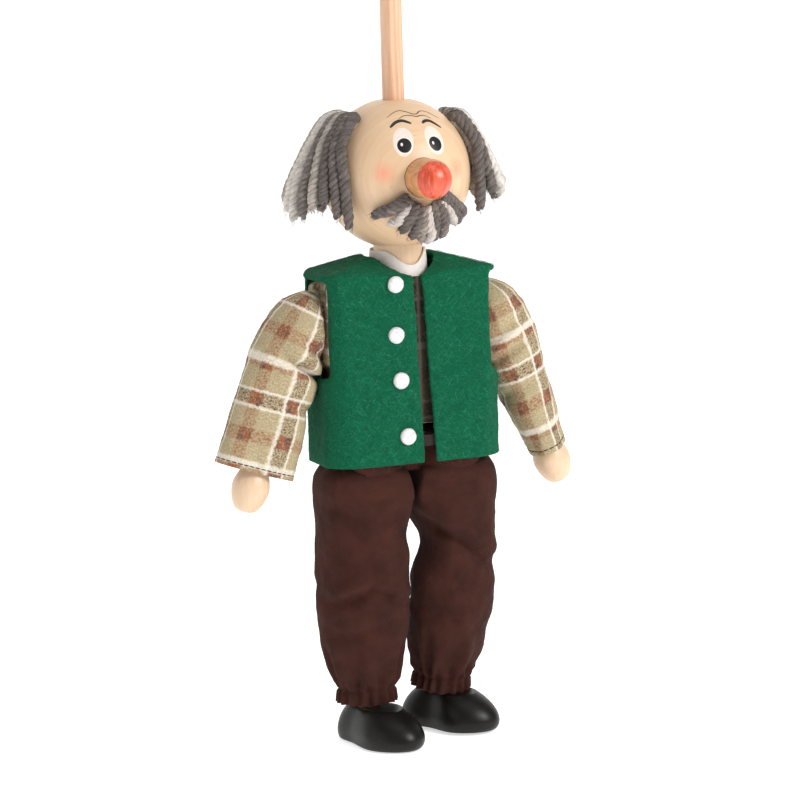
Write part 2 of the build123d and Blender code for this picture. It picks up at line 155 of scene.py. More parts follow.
def quads(rows, cols, wrap=True):
    """The faces of a grid of points, and the row and column of each face's four corners."""
    i, j = np.meshgrid(np.arange(rows - 1), np.arange(cols if wrap else cols - 1), indexing="ij")
    k = (j + 1) % cols
    faces = np.stack([i * cols + j, i * cols + k, (i + 1) * cols + k, (i + 1) * cols + j], -1)
    return faces.reshape(-1, 4), [(i, j), (i, j + 1), (i + 1, j + 1), (i + 1, j)]


def corner_uv(pairs):
    """UVs face by face, from the pair of values at each of the four corners."""
    return np.stack([np.stack(pair, -1) for pair in pairs], 2).reshape(-1, 2)


def surface(name, grid, u=None, v=None, wrap=True):
    """A sheet through a grid of points. Its UVs are millimetres across and along the cloth."""
    faces, corners = quads(*grid.shape[:2], wrap)
    uv = None
    if u is not None:
        uv = corner_uv([(u[at], v[at]) for at in corners])
    return mesh_object(name, grid.reshape(-1, 3), faces.tolist(), uv)


class Strands:
    """Many thin tubes gathered into one mesh, each with a tint."""

    def __init__(self):
        self.points, self.faces, self.uv, self.tint, self.used = [], [], [], [], 0

    def tube(self, path, radius, sides, tint):
        path = np.asarray(path, float)
        count = len(path)
        tangent = unit(np.gradient(path, axis=0))
        side = unit(np.cross(tangent, unit(np.array([0.31, 0.83, 0.47]))))
        other = np.cross(tangent, side)
        turn = np.linspace(0, 2 * math.pi, sides, endpoint=False)
        ring = np.cos(turn)[None, :, None] * side[:, None] + np.sin(turn)[None, :, None] * other[:, None]
        radius = np.broadcast_to(np.asarray(radius, float), (count,))
        grid = path[:, None] + radius[:, None, None] * ring
        faces, corners = quads(count, sides)
        self.faces += (faces + self.used).tolist()
        self.faces.append((np.arange(sides)[::-1] + self.used).tolist())
        self.faces.append((np.arange(sides) + self.used + (count - 1) * sides).tolist())
        length = np.concatenate([[0], np.cumsum(np.linalg.norm(np.diff(path, axis=0), axis=1))])
        across = 2 * math.pi * radius.mean() / sides
        self.uv.append(corner_uv([(column * across, length[row]) for row, column in corners]))
        self.uv.append(np.zeros((2 * sides, 2)))
        self.points.append(grid.reshape(-1, 3))
        self.tint.append(np.full(count * sides, tint))
        self.used += count * sides

    def object(self, name):
        tint = np.concatenate(self.tint)
        return mesh_object(name, np.vstack(self.points), self.faces, np.vstack(self.uv), tint)


def softened(name, node, voxel, rounds):
    """A fine copy of a CAD node whose edges are eased, as cloth, felt or sanded wood."""
    obj = bpy.data.objects.new(name, frame["nodes"][node].data.copy())
    bpy.context.scene.collection.objects.link(obj)
    obj.data.materials.clear()
    remesh = obj.modifiers.new("remesh", "REMESH")
    remesh.mode = "VOXEL"
    remesh.voxel_size = voxel * MM
    relax = obj.modifiers.new("relax", "SMOOTH")
    relax.iterations = rounds
    bake(obj)
    obj.data.shade_smooth()
    return obj


def bake(obj):
    """Applies every modifier, so that the final mesh is what rides its body."""
    graph = bpy.context.evaluated_depsgraph_get()
    mesh = bpy.data.meshes.new_from_object(obj.evaluated_get(graph))
    obj.modifiers.clear()
    obj.data = mesh


def move_points(obj, points):
    obj.data.vertices.foreach_set("co", (points * MM).ravel())
    obj.data.update()


def box_uv(obj):
    """Cloth UVs laid on flat from the front and back, and from the sides where those face away."""
    points = points_of(obj)
    layer = obj.data.uv_layers.new(name="cloth")
    uv = np.empty((len(obj.data.loops), 2), np.float32)
    for face in obj.data.polygons:
        across = 1 if abs(face.normal.x) > abs(face.normal.y) else 0
        for loop in face.loop_indices:
            point = points[obj.data.loops[loop].vertex_index]
            uv[loop] = point[across], point[2]
    layer.data.foreach_set("uv", uv.ravel())


def thicken(obj, thickness):
    """Gives a sheet its thickness, all of it inward."""
    solid = obj.modifiers.new("thickness", "SOLIDIFY")
    solid.thickness = thickness * MM
    solid.offset = -1.0
    bake(obj)


def finish_piece(obj, material, body, slot, *nodes):
    obj.data.materials.clear()
    obj.data.materials.append(material)
    if body:
        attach(obj, body)
    if nodes:
        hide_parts(*nodes)


def fuzz(name, obj, count, length, lift, tint=(0.3, 1.0), radius=0.035):
    """Loose fibres that start on a piece's surface and curl away along it."""
    mesh = obj.data
    areas = np.array([p.area for p in mesh.polygons])
    centres = np.array([p.center for p in mesh.polygons]) / MM
    normals = np.array([p.normal for p in mesh.polygons])
    chosen = RNG.choice(len(areas), count, p=areas / areas.sum())
    strands = Strands()
    for c, n in zip(centres[chosen] + np.array(obj.location) / MM, normals[chosen]):
        along = unit(np.cross(n, RNG.normal(size=3)))
        bend = np.cross(n, along) * RNG.uniform(-0.6, 0.6)
        reach, rise = RNG.uniform(*length), RNG.uniform(*lift)
        t = np.linspace(0, 1, 4)[:, None]
        path = c + reach * (t * along + t**2 * bend) + n * rise * np.sin(math.pi * 0.75 * t)
        strands.tube(path, radius * np.array([1, 1, 0.8, 0.3]), 3, RNG.uniform(*tint))
    return strands.object(name)


# ---------------- materials ----------------
def rgb(red, green, blue):
    """Scene-linear colour from the 0-255 values of a swatch."""
    swatch = np.array([red, green, blue]) / 255
    linear = np.where(swatch <= 0.04045, swatch / 12.92, ((swatch + 0.055) / 1.055) ** 2.4)
    return (*linear.tolist(), 1.0)


class Look:
    """A principled material and short ways to add nodes to it. Its textures are scaled in millimetres."""

    def __init__(self, name, **sockets):
        self.material = bpy.data.materials.new(name)
        self.material.use_nodes = True
        self.tree = self.material.node_tree
        self.tree.nodes.clear()
        self.bsdf = self.tree.nodes.new("ShaderNodeBsdfPrincipled")
        output = self.tree.nodes.new("ShaderNodeOutputMaterial")
        self.tree.links.new(self.bsdf.outputs[0], output.inputs[0])
        for socket, value in sockets.items():
            self.put(self.bsdf.inputs[socket.replace("_", " ")], value)

    def put(self, socket, value):
        if isinstance(value, bpy.types.NodeSocket):
            self.tree.links.new(value, socket)
        else:
            socket.default_value = value

    def node(self, kind, *values, **settings):
        made = self.tree.nodes.new("ShaderNode" + kind)
        for key, value in settings.items():
            setattr(made, key, value)
        for socket, value in zip(made.inputs, values):
            if value is not None:
                self.put(socket, value)
        return made

    def math(self, operation, a, b=0.0, c=0.0):
        return self.node("Math", a, b, c, operation=operation).outputs[0]

    def wave(self, value, pitch):
        """A sine, from -1 to 1, that repeats each pitch."""
        return self.math("SINE", self.math("MULTIPLY", value, TURN / pitch))

    def vector(self, operation, a, b=(0, 0, 0)):
        return self.node("VectorMath", a, b, operation=operation).outputs[0]

    def place(self, stretch=(1, 1, 1), turn=(0, 0, 0)):
        """The piece's own coordinates in millimetres, turned and then stretched."""
        spot = self.node("TexCoord").outputs["Object"]
        turned = self.node("Mapping", spot, (0, 0, 0), [math.radians(a) for a in turn], (1, 1, 1)).outputs[0]
        return self.vector("MULTIPLY", turned, tuple(s / MM for s in stretch))

    def cloth(self, stretch=(1, 1, 1)):
        """The cloth's own coordinates in millimetres."""
        return self.vector("MULTIPLY", self.node("TexCoord").outputs["UV"], stretch)

    def noise(self, where, size, detail=3.0, rough=0.5, warp=0.0, colour=False):
        made = self.node("TexNoise")
        values = {"Vector": where, "Scale": 1 / size, "Detail": detail, "Roughness": rough,
                  "Distortion": warp}
        for key, value in values.items():
            self.put(made.inputs[key], value)
        return made.outputs["Color" if colour else 0]

    def ramp(self, fac, *stops):
        """Colours or greys along a value, from (position, colour) stops."""
        made = self.node("ValToRGB", fac)
        elements = made.color_ramp.elements
        while len(elements) < len(stops):
            elements.new(1.0)
        for element, (position, colour) in zip(elements, stops):
            element.position = position
            element.color = colour if isinstance(colour, tuple) else (colour, colour, colour, 1.0)
        return made.outputs[0]

    def mix(self, fac, a, b, blend="MIX"):
        made = self.node("Mix", data_type="RGBA", blend_type=blend)
        self.put(made.inputs[0], fac)
        self.put(made.inputs[6], a)
        self.put(made.inputs[7], b)
        return made.outputs[2]

    def bump(self, height, distance, strength=1.0):
        made = self.node("Bump")
        self.put(made.inputs["Height"], height)
        self.put(made.inputs["Distance"], distance * MM)
        self.put(made.inputs["Strength"], strength)
        return made.outputs[0]

    def done(self, colour, normal=None, roughness=None):
        self.put(self.bsdf.inputs["Base Color"], colour)
        if normal is not None:
            self.put(self.bsdf.inputs["Normal"], normal)
        if roughness is not None:
            self.put(self.bsdf.inputs["Roughness"], roughness)
        return self.material


def wood(look, light, dark, grain, rings=9.0, heart=(60, 25, 0), flecks=0.35, ringed=0.16):
    """Wood colour and height: rings about a far heart line, streaks along the grain and short dark flecks."""
    from_heart = look.vector("SUBTRACT", look.place(), heart)
    flat = look.vector("MULTIPLY", from_heart, tuple(0.12 if g else 1.0 for g in grain))
    radius = look.node("VectorMath", flat, operation="LENGTH").outputs["Value"]
    wander = look.noise(look.place(tuple(0.25 if g else 1.0 for g in grain)), 14, 2)
    wander = look.math("MULTIPLY", wander, 9.0)
    rings = look.math("SINE", look.math("MULTIPLY_ADD", radius, TURN / rings * 3, wander))
    streaks = look.noise(look.place(tuple(0.05 if g else 1.0 for g in grain)), 1.1, 4, 0.6)
    pores = look.noise(look.place(tuple(0.16 if g else 1.0 for g in grain)), 0.42, 2)
    tone = look.math("MULTIPLY_ADD", rings, ringed, look.math("MULTIPLY_ADD", streaks, 0.9, 0.05))
    colour = look.mix(look.ramp(tone, (0.28, 0.0), (0.78, 1.0)), light, dark)
    marks = look.ramp(pores, (0.66, 0.0), (0.74, flecks))
    deep = tuple(0.55 * c for c in dark[:3]) + (1.0,)
    return look.mix(marks, colour, deep), look.math("SUBTRACT", streaks, marks)


def rod_wood():
    look = Look("rod_beech", Roughness=0.55)
    colour, height = wood(look, rgb(232, 190, 158), rgb(208, 158, 122), (0, 0, 1), 5, (30, 8, 0), 0.5)
    return look.done(colour, look.bump(height, 0.06, 0.7))


def plain_wood(name, light, dark, roughness=0.6, ringed=0.05):
    look = Look(name, Roughness=roughness)
    colour, height = wood(look, light, dark, (0, 0, 1), 6, (35, -20, 0), 0.2, ringed)
    return look.done(colour, look.bump(height, 0.05, 0.5))


def head_wood(cheeks):
    """Pale satin-varnished maple with a soft pink airbrushed spot on each cheek."""
    look = Look("head_maple", Roughness=0.42, Coat_Weight=0.12, Coat_Roughness=0.35)
    light, dark = rgb(228, 196, 161), rgb(215, 178, 140)
    colour, height = wood(look, light, dark, (0.4, 0, 1), 8, (-40, 60, 10), 0.3, 0.015)
    spray = look.noise(look.place(), 0.45, 2, 0.7)
    for cheek in cheeks:
        gap = look.vector("SUBTRACT", look.place(), tuple(cheek))
        far = look.node("VectorMath", gap, operation="LENGTH").outputs["Value"]
        speckled = look.math("MULTIPLY_ADD", spray, 3.0, look.math("SUBTRACT", far, 1.5))
        colour = look.mix(look.ramp(look.math("DIVIDE", speckled, 5.0), (0.0, 0.6), (0.35, 0.4), (1.0, 0.0)),
                          colour, rgb(240, 132, 108))
    return look.done(colour, look.bump(height, 0.03, 0.5))


def nose_wood(stain_y):
    """Bare wood whose rounded end is stained red, with the grain showing through."""
    look = Look("nose_stained", Roughness=0.38, Coat_Weight=0.25, Coat_Roughness=0.25)
    bare, height = wood(look, rgb(222, 164, 112), rgb(196, 130, 80), (0, 0, 1), 3, (12, -30, 0), 0.3)
    streaks = look.noise(look.place((1, 1, 0.1)), 1.3, 4, 0.65)
    red = look.ramp(streaks, (0.3, rgb(238, 112, 74)), (0.5, rgb(218, 84, 54)), (0.7, rgb(158, 50, 32)))
    depth = look.node("SeparateXYZ", look.place()).outputs["Y"]
    ragged = look.math("MULTIPLY_ADD", look.noise(look.place((1, 1, 0.35)), 1.6, 4, 0.7), 3.0, depth)
    past_edge = look.math("MULTIPLY_ADD", ragged, -0.5, stain_y * 0.5 + 1.25)
    stained = look.ramp(past_edge, (0.35, 0.0), (0.75, 1.0))
    return look.done(look.mix(stained, bare, red), look.bump(height, 0.05, 0.6))


def paint(name, colour, roughness=0.35):
    """Thin brushed paint on wood: a little uneven in tone and gloss."""
    look = Look(name, Coat_Weight=0.06, Specular_IOR_Level=0.3)
    patchy = look.noise(look.place(), 0.9, 3)
    deep = tuple(0.82 * c for c in colour[:3]) + (1.0,)
    sheen = look.ramp(patchy, (0.3, roughness), (0.7, roughness + 0.15))
    return look.done(look.mix(patchy, colour, deep), look.bump(patchy, 0.02, 0.4), sheen)


def shoe_paint():
    """Satin black paint over carved wood, rubbed thin here and there."""
    look = Look("shoe_black", Coat_Weight=0.12, Coat_Roughness=0.35, Specular_IOR_Level=0.22)
    broad = look.noise(look.place(), 7, 4, 0.6)
    fine = look.noise(look.place(), 0.7, 3, 0.6)
    worn = look.ramp(look.math("MULTIPLY", broad, fine), (0.27, 0.0), (0.42, 0.5))
    colour = look.mix(worn, rgb(13, 11, 9), rgb(36, 29, 23))
    nicks = look.ramp(look.noise(look.place(), 2.2, 4, 0.75), (0.75, 0.0), (0.78, 0.6))
    colour = look.mix(nicks, colour, rgb(150, 118, 90))
    gloss = look.ramp(broad, (0.3, 0.34), (0.75, 0.52))
    return look.done(colour, look.bump(look.mix(0.3, broad, fine), 0.12, 0.5), gloss)


def yarn(name, dark, light, warmth=rgb(180, 170, 160)):
    """Heather wool: each ply mixes dark and light fibres, and a strand's tint shifts the mix."""
    look = Look(name, Roughness=0.85, Sheen_Weight=0.08, Sheen_Roughness=0.5, Specular_IOR_Level=0.2)
    tint = look.node("Attribute", attribute_name="tint").outputs["Fac"]
    fibres = look.noise(look.cloth((4.0, 0.55, 1)), 0.5, 4, 0.7)
    flecks = look.noise(look.cloth((1.6, 0.35, 1)), 0.8, 3, 0.7)
    patches = look.noise(look.place(), 5, 2)
    share = look.math("MULTIPLY_ADD", fibres, 0.9, tint)
    share = look.math("MULTIPLY_ADD", flecks, 0.7, look.math("SUBTRACT", share, 0.85))
    share = look.math("MULTIPLY_ADD", patches, 0.3, share)
    colour = look.ramp(share, (0.0, dark), (0.4, rgb(116, 107, 102)), (0.72, warmth), (1.0, light))
    return look.done(colour, look.bump(fibres, 0.25, 0.9))


def felt(name, base, deep, pale):
    """Pressed wool: matted fibres in every direction, some paler."""
    look = Look(name, Roughness=0.95, Sheen_Weight=0.03, Sheen_Roughness=0.6, Specular_IOR_Level=0.12)
    cloudy = look.noise(look.place(), 3, 5, 0.7)
    colour = look.mix(look.ramp(cloudy, (0.3, 0.1), (0.7, 0.7)), base, deep)
    height = look.noise(look.place(), 0.7, 5, 0.75)
    for turn in ((0, 35, 10), (0, -40, -15), (20, 80, 0)):
        hairs = look.noise(look.place((1, 1, 0.12), turn), 0.42, 3, 0.6, 1.2)
        colour = look.mix(look.ramp(hairs, (0.56, 0.0), (0.7, 0.55)), colour, pale)
        height = look.math("MULTIPLY_ADD", hairs, 0.5, height)
    pits = look.ramp(look.noise(look.place(), 0.9, 4, 0.7), (0.3, 0.45), (0.5, 0.0))
    colour = look.mix(pits, colour, tuple(0.45 * c for c in deep[:3]) + (1.0,))
    return look.done(colour, look.bump(height, 0.5, 0.9))


def cotton(name, base, shade, pitch=0.45):
    """Plain woven cotton."""
    look = Look(name, Roughness=0.9, Sheen_Weight=0.05, Specular_IOR_Level=0.2)
    across, along = list(look.node("SeparateXYZ", look.cloth()).outputs)[:2]
    height = look.math("MULTIPLY", look.wave(across, pitch), look.wave(along, pitch))
    patchy = look.noise(look.cloth(), 3, 3)
    return look.done(look.mix(patchy, base, shade), look.bump(height, 0.08, 0.6))


def twill(name, light, dark, pitch=0.62):
    """Brown cotton twill: fine slanted ribs with worn, lighter tops and scattered pale fibres."""
    look = Look(name, Roughness=0.9, Sheen_Weight=0.02, Sheen_Roughness=0.5, Specular_IOR_Level=0.15)
    where = look.cloth()
    wander = look.noise(where, 1.2, 2)
    across, along = list(look.node("SeparateXYZ", where).outputs)[:2]
    drift = look.math("MULTIPLY_ADD", wander, 0.22, along)
    slant = look.math("ADD", look.math("MULTIPLY", across, 0.82), drift)
    ribs = look.wave(slant, pitch)
    threads = look.wave(along, 0.6 * pitch)
    height = look.math("MULTIPLY_ADD", threads, 0.25, ribs)
    fading = look.noise(where, 9, 4, 0.6)
    tone = look.math("MULTIPLY_ADD", ribs, 0.16, look.math("MULTIPLY_ADD", fading, 0.7, 0.14))
    colour = look.mix(look.ramp(tone, (0.25, 0.0), (0.8, 1.0)), dark, light)
    lint = look.ramp(look.noise(look.cloth((1, 0.3, 1)), 0.35, 2, 0.8), (0.74, 0.0), (0.8, 0.5))
    colour = look.mix(lint, colour, rgb(158, 128, 112))
    return look.done(colour, look.bump(height, 0.09, 0.8))


def bands(look, value, sett, colour):
    """1 where a repeating striped sequence has that colour, with soft brushed edges."""
    period = sum(width for _, width in sett)
    turns = look.math("FRACT", look.math("DIVIDE", value, period))
    edges, at, soft = [(0.0, 0.0)], 0.0, 0.35
    for kind, width in sett:
        if kind == colour:
            edges += [(max(0.0, at - soft) / period, 0.0), ((at + soft) / period, 1.0),
                      ((at + width - soft) / period, 1.0), (min(period, at + width + soft) / period, 0.0)]
        at += width
    return look.ramp(turns, *edges)


WARP = [("cream", 1.1), ("mixed", 5.6), ("cream", 1.1), ("tan", 7.0), ("rust", 5.2), ("tan", 7.0)]
WEFT = [("cream", 1.1), ("mixed", 5.0), ("cream", 1.1), ("tan", 7.4), ("rust", 4.8), ("tan", 6.6),
        ("cream", 2.4), ("rust", 2.0), ("tan", 7.4)]


# Half width in millimetres of the painted shade across the shirt's front.
SHADED_HALF = 24


def plaid(name, shift=(0.0, 0.0), shade=1.0):
    """Brushed flannel with a tan ground, cream lines, and rust and navy where the dark bands cross.

    A shade below 1 paints shade on the middle of the front: a painted shadow of the vest, which stands off
    the shirt.
    """
    look = Look(name, Roughness=0.95, Sheen_Weight=0.04, Sheen_Roughness=0.6, Specular_IOR_Level=0.12)
    where = look.vector("ADD", look.cloth(), (*shift, 0))
    fuzzy = look.vector("MULTIPLY", look.vector("SUBTRACT", look.noise(where, 1.2, 4, 0.75, colour=True),
                                                (0.5, 0.5, 0.5)), (2.2, 2.2, 0))
    across, along = list(look.node("SeparateXYZ", look.vector("ADD", where, fuzzy)).outputs)[:2]
    masks = {}
    for kind in ("cream", "mixed", "rust"):
        masks[kind] = bands(look, across, WARP, kind), bands(look, along, WEFT, kind)
    dark_warp = look.math("ADD", masks["mixed"][0], masks["rust"][0])
    dark_weft = look.math("ADD", masks["mixed"][1], masks["rust"][1])
    speck = look.noise(where, 0.75, 4, 0.85)
    speck_two = look.noise(look.vector("ADD", where, (41, 17, 0)), 0.95, 4, 0.85)
    ground = look.mix(look.ramp(speck, (0.35, 0.0), (0.65, 1.0)), rgb(200, 184, 150), rgb(150, 133, 100))
    rust, navy, cream = rgb(146, 84, 52), rgb(66, 62, 74), rgb(236, 228, 214)

    def speckled(colour, mask, source, low, high, ink):
        amount = look.math("MULTIPLY", mask, look.ramp(source, (low, 0.0), (high, 1.0)))
        return look.mix(amount, colour, ink)

    colour = ground
    for mask in masks["rust"]:
        colour = speckled(colour, mask, speck_two, 0.42, 0.64, rust)
    for mask in masks["mixed"]:
        colour = speckled(colour, mask, speck, 0.46, 0.6, rgb(122, 92, 62))
        colour = speckled(colour, mask, speck_two, 0.53, 0.6, navy)
    crossing = look.math("MULTIPLY", dark_warp, dark_weft)
    colour = speckled(colour, crossing, speck_two, 0.3, 0.56, rust)
    corner = look.noise(look.vector("ADD", where, (9, 33, 0)), 3.2, 2)
    patch = look.math("MULTIPLY", crossing, look.ramp(corner, (0.42, 0.0), (0.66, 1.0)))
    colour = speckled(colour, patch, speck, 0.34, 0.56, navy)
    for mask in masks["cream"]:
        colour = speckled(colour, look.math("MULTIPLY", mask, 0.86), speck, 0.3, 0.54, cream)
    # Painted shade: the middle of the front is darkened as if it lay in the vest's shadow.
    if shade < 1:
        from_middle = look.math("ABSOLUTE", look.node("SeparateXYZ", look.place()).outputs["X"])
        painted_shade = look.ramp(look.math("DIVIDE", from_middle, SHADED_HALF), (0.4, shade), (0.9, 1.0))
        colour = look.mix(1.0, colour, painted_shade, "MULTIPLY")
    weave = look.noise(look.cloth((1, 1, 1)), 0.3, 4, 0.8)
    return look.done(colour, look.bump(weave, 0.22, 0.8))


def thread(name, colour):
    """Spun thread or cord with its plies showing as slanted bands."""
    look = Look(name, Roughness=0.8, Sheen_Weight=0.05)
    across, along, up = look.node("SeparateXYZ", look.place()).outputs
    lay = look.math("ADD", look.math("ADD", across, along), look.math("MULTIPLY", up, 1.6))
    twist = look.wave(lay, 0.9)
    deep = tuple(0.6 * c for c in colour[:3]) + (1.0,)
    worn = look.math("MULTIPLY_ADD", twist, 0.4, look.noise(look.place(), 0.4, 3))
    shade = look.ramp(worn, (0.1, 0.0), (0.7, 1.0))
    return look.done(look.mix(shade, deep, colour), look.bump(twist, 0.15, 0.7))


# ---------------- head ----------------
# Azimuth and elevation in degrees about the ball's centre, and half widths in millimetres.
EYE = dict(azimuth=14.6, elevation=28.7, half=(3.85, 5.95))
PUPIL = dict(azimuth=14.0, elevation=25.4, half=(2.85, 3.05))
CHEEK_AT = (31.0, 4.6)
STAIN_EDGE_Y = -36.6
BROWS = {"right": [(-26.2, 41.0), (-20.5, 45.8), (-13.0, 47.4), (-3.7, 44.3)],
         "left": [(8.6, 44.0), (14.0, 46.0), (20.5, 45.2), (29.5, 38.4)]}
FURROWS = {"long": [(-30.5, 51.0), (-24, 56), (-15, 59), (-6, 57.6), (3, 54.2), (9, 54.2), (16, 57),
                    (25, 56.2), (32, 52), (37.5, 47)],
           "short": [(-16.5, 49.6), (-9, 52.8), (-1, 52.6), (6, 51), (12, 52), (18.5, 51.4), (24, 48)]}


def painted_spot(name, azimuth, elevation, half, material, lift=0.07, shift=(0, 0)):
    """An oval of paint that follows the ball, a little proud of it and thin at its rim."""
    turn = np.linspace(0, 2 * math.pi, 72, endpoint=False)
    share = np.linspace(0, 1, 12)[:, None]
    centre = unit(on_ball(azimuth, elevation, 1) - HEAD)
    side = unit(np.cross((0, 0, 1), centre))
    up = np.cross(centre, side)
    across = shift[0] + share * half[0] * np.cos(turn)
    along = shift[1] + share * half[1] * np.sin(turn)
    out = unit(centre * HEAD_R + across[..., None] * -side + along[..., None] * up)
    height = HEAD_R + lift * np.sqrt(np.clip(1 - share**6, 0, 1)) - 0.02 * (share > 0.99)
    finish_piece(surface(name, HEAD + out * height[..., None]), material, "root", "head_wood")


def painted_stroke(name, angles, width, material, lift=0.06):
    """One brush stroke across the ball, fullest in its middle."""
    line = smooth_path(np.array(angles), 60)
    middle = unit(on_ball(line[:, 0], line[:, 1], 1) - HEAD)
    side = unit(np.cross(np.gradient(middle, axis=0), middle))
    full = 0.5 * width * np.clip(np.sin(math.pi * np.linspace(0.03, 0.97, 60)), 0, 1) ** 0.35
    rows = [unit(middle * HEAD_R + share * full[:, None] * side) * (HEAD_R + lift * (1 - share**4) - 0.01)
            for share in np.linspace(-1, 1, 7)]
    finish_piece(surface(name, HEAD + np.stack(rows, 1), wrap=False), material, "root", "head_wood")


def ring_path(centre, axis_a, axis_b, count=96):
    turn = np.linspace(0, 2 * math.pi, count)[:, None]
    return centre + np.cos(turn) * axis_a + np.sin(turn) * axis_b


def face():
    """The varnished ball with its painted eyes, brows and furrows, and the nose in its seat, ringed by a
    painted shadow.
    """
    cheeks = [on_ball(s * CHEEK_AT[0], CHEEK_AT[1], HEAD_R) for s in SIDES.values()]
    keep(head_wood(cheeks), "head_ball")
    keep(nose_wood(STAIN_EDGE_Y), "nose")
    white = paint("eye_white", rgb(240, 226, 214), 0.4)
    bright = paint("eye_rim", rgb(250, 246, 240), 0.35)
    black = paint("pupil_black", rgb(34, 32, 30), 0.28)
    brown = paint("brow_brown", rgb(52, 42, 36), 0.45)
    fine = paint("furrow_brown", rgb(82, 58, 46), 0.5)
    for side, sign in SIDES.items():
        eye = sign * EYE["azimuth"], EYE["elevation"]
        pupil = sign * PUPIL["azimuth"], PUPIL["elevation"]
        half = PUPIL["half"]
        painted_spot(f"eye_white_{side}", *eye, EYE["half"], white, 0.05)
        painted_spot(f"eye_rim_{side}", *pupil, (half[0] + 0.35, half[1] + 0.35), bright, 0.08)
        painted_spot(f"pupil_{side}", *pupil, half, black, 0.13)
        painted_spot(f"pupil_light_{side}", *pupil, (0.48, 0.75), bright, 0.18, (0.95, 0.35))
        painted_stroke(f"brow_{side}", BROWS[side], 1.5, brown)
    for kind, angles in FURROWS.items():
        painted_stroke(f"furrow_{kind}", angles, 0.5, fine, 0.04)
    # A thin dark ring round the nose's base: painted shadow in the crevice where the nose sits in the ball.
    seat = Strands()
    back = -math.sqrt(HEAD_R**2 - NOSE_R**2)
    seat.tube(ring_path(HEAD + (0, back, 0), np.array([NOSE_R, 0, 0]), np.array([0, 0, NOSE_R])), 0.14, 8, 0)
    shadow = paint("seat_shadow", rgb(92, 60, 42), 0.7)
    finish_piece(seat.object("nose_seat_shadow"), shadow, "root", "head_wood")


# ---------------- yarn ----------------
YARN_R = 2.05
PLIES = 3
TWIST = 5.4
STRAYS_PER_MM = 7
FRAYED_ENDS = 16
FIBRE_TAPER = np.array([1, 0.9, 0.7, 0.3])
HAIR_DARK, HAIR_LIGHT = rgb(70, 60, 57), rgb(226, 220, 212)


def yarn_strand(bundle, loose, path, tint, radius=YARN_R):
    """One strand: twisted plies round a line, with frayed ends and stray fibres."""
    length = np.linalg.norm(np.diff(path, axis=0), axis=1).sum()
    count = int(length * 2.2) + 8
    line = smooth_path(path, count)
    step = np.linspace(0, length, count)
    tangent = unit(np.gradient(line, axis=0))
    side = unit(np.cross(tangent, unit(RNG.normal(size=3))))
    other = np.cross(tangent, side)
    taper = 1 - 0.25 * ease(step, length - 3.5, length)
    start = RNG.uniform(0, TURN)
    for ply in range(PLIES):
        angle = (start + 2 * math.pi * (step / TWIST + ply / PLIES))[:, None]
        centre = line + 0.53 * radius * taper[:, None] * (np.cos(angle) * side + np.sin(angle) * other)
        lumps = 1 + 0.09 * np.sin(step * 2.3 + ply) + 0.05 * RNG.normal(size=count)
        last = count - RNG.integers(0, 3)
        thick = 0.52 * radius * (lumps * taper)[:last]
        bundle.tube(centre[:last], thick, 10, tint + RNG.uniform(-0.06, 0.06))
    for _ in range(int(length * STRAYS_PER_MM)):
        at = RNG.integers(0, count - 1)
        around = RNG.uniform(0, TURN)
        out = math.cos(around) * side[at] + math.sin(around) * other[at]
        reach = RNG.uniform(0.5, 1.4)
        sweep = unit(tangent[at] * RNG.uniform(-1, 1.4) + np.cross(tangent[at], out) * RNG.uniform(-1, 1))
        t = np.linspace(0, 1, 4)[:, None]
        fibre = line[at] + out * radius * 0.92 + reach * t * sweep + out * 0.75 * reach * t * (1 - 0.6 * t)
        loose.tube(fibre, 0.045 * FIBRE_TAPER, 3, tint + RNG.uniform(0, 0.3))
    for end, ahead in ((0, -1), (-1, 1)):
        for _ in range(FRAYED_ENDS):
            out = unit(RNG.normal(size=3))
            root = line[end] + 0.6 * radius * RNG.uniform(-1, 1, 3)
            t = np.linspace(0, 1, 4)[:, None]
            lean = unit(ahead * tangent[end] + 0.55 * out)
            fray = root + RNG.uniform(0.6, 1.5) * t * lean - t**2 * (0, 0, 0.4)
            loose.tube(fray, 0.07 * FIBRE_TAPER, 3, tint + RNG.uniform(-0.1, 0.2))


def round_head(azimuth, radius, height):
    """A point by its angle round the head, distance from the head's axis and height above its centre."""
    a = math.radians(azimuth)
    return HEAD + (radius * math.sin(a), -radius * math.cos(a), height)


# Each outer strand from the front of a bunch to its back: how far it stands off, and how pale it is.
OUTER = {"right": [(0.02, 0.14), (0.18, 0.2), (0.4, 0.24), (0.6, 0.6), (0.78, 0.3), (0.92, 0.8), (1.0, 0.95),
                   (1.0, 0.62), (0.92, 0.85), (0.75, 0.25), (0.6, 0.6), (0.45, 0.4)],
         "left": [(0.12, 0.18), (0.5, 0.24), (0.8, 0.9), (0.95, 0.85), (1.0, 0.78), (0.97, 0.3), (0.9, 0.2),
                  (0.8, 0.5), (0.7, 0.3), (0.6, 0.6), (0.5, 0.3), (0.4, 0.5)]}
# Angles round the head of the first and last strand at the roots and at the ends, then how far the roots
# are out and up from the head's centre, and the height at which most strands end.
HAIR_ROOTS = {"right": (68, 118), "left": (64, 98)}
HAIR_ENDS = (57, 136)
ROOT_AT = {"right": (19.2, 21.6), "left": (21.6, 19.4)}
HAIR_DROP = {"right": -12.0, "left": -8.5}
UNDER_STRANDS = 10


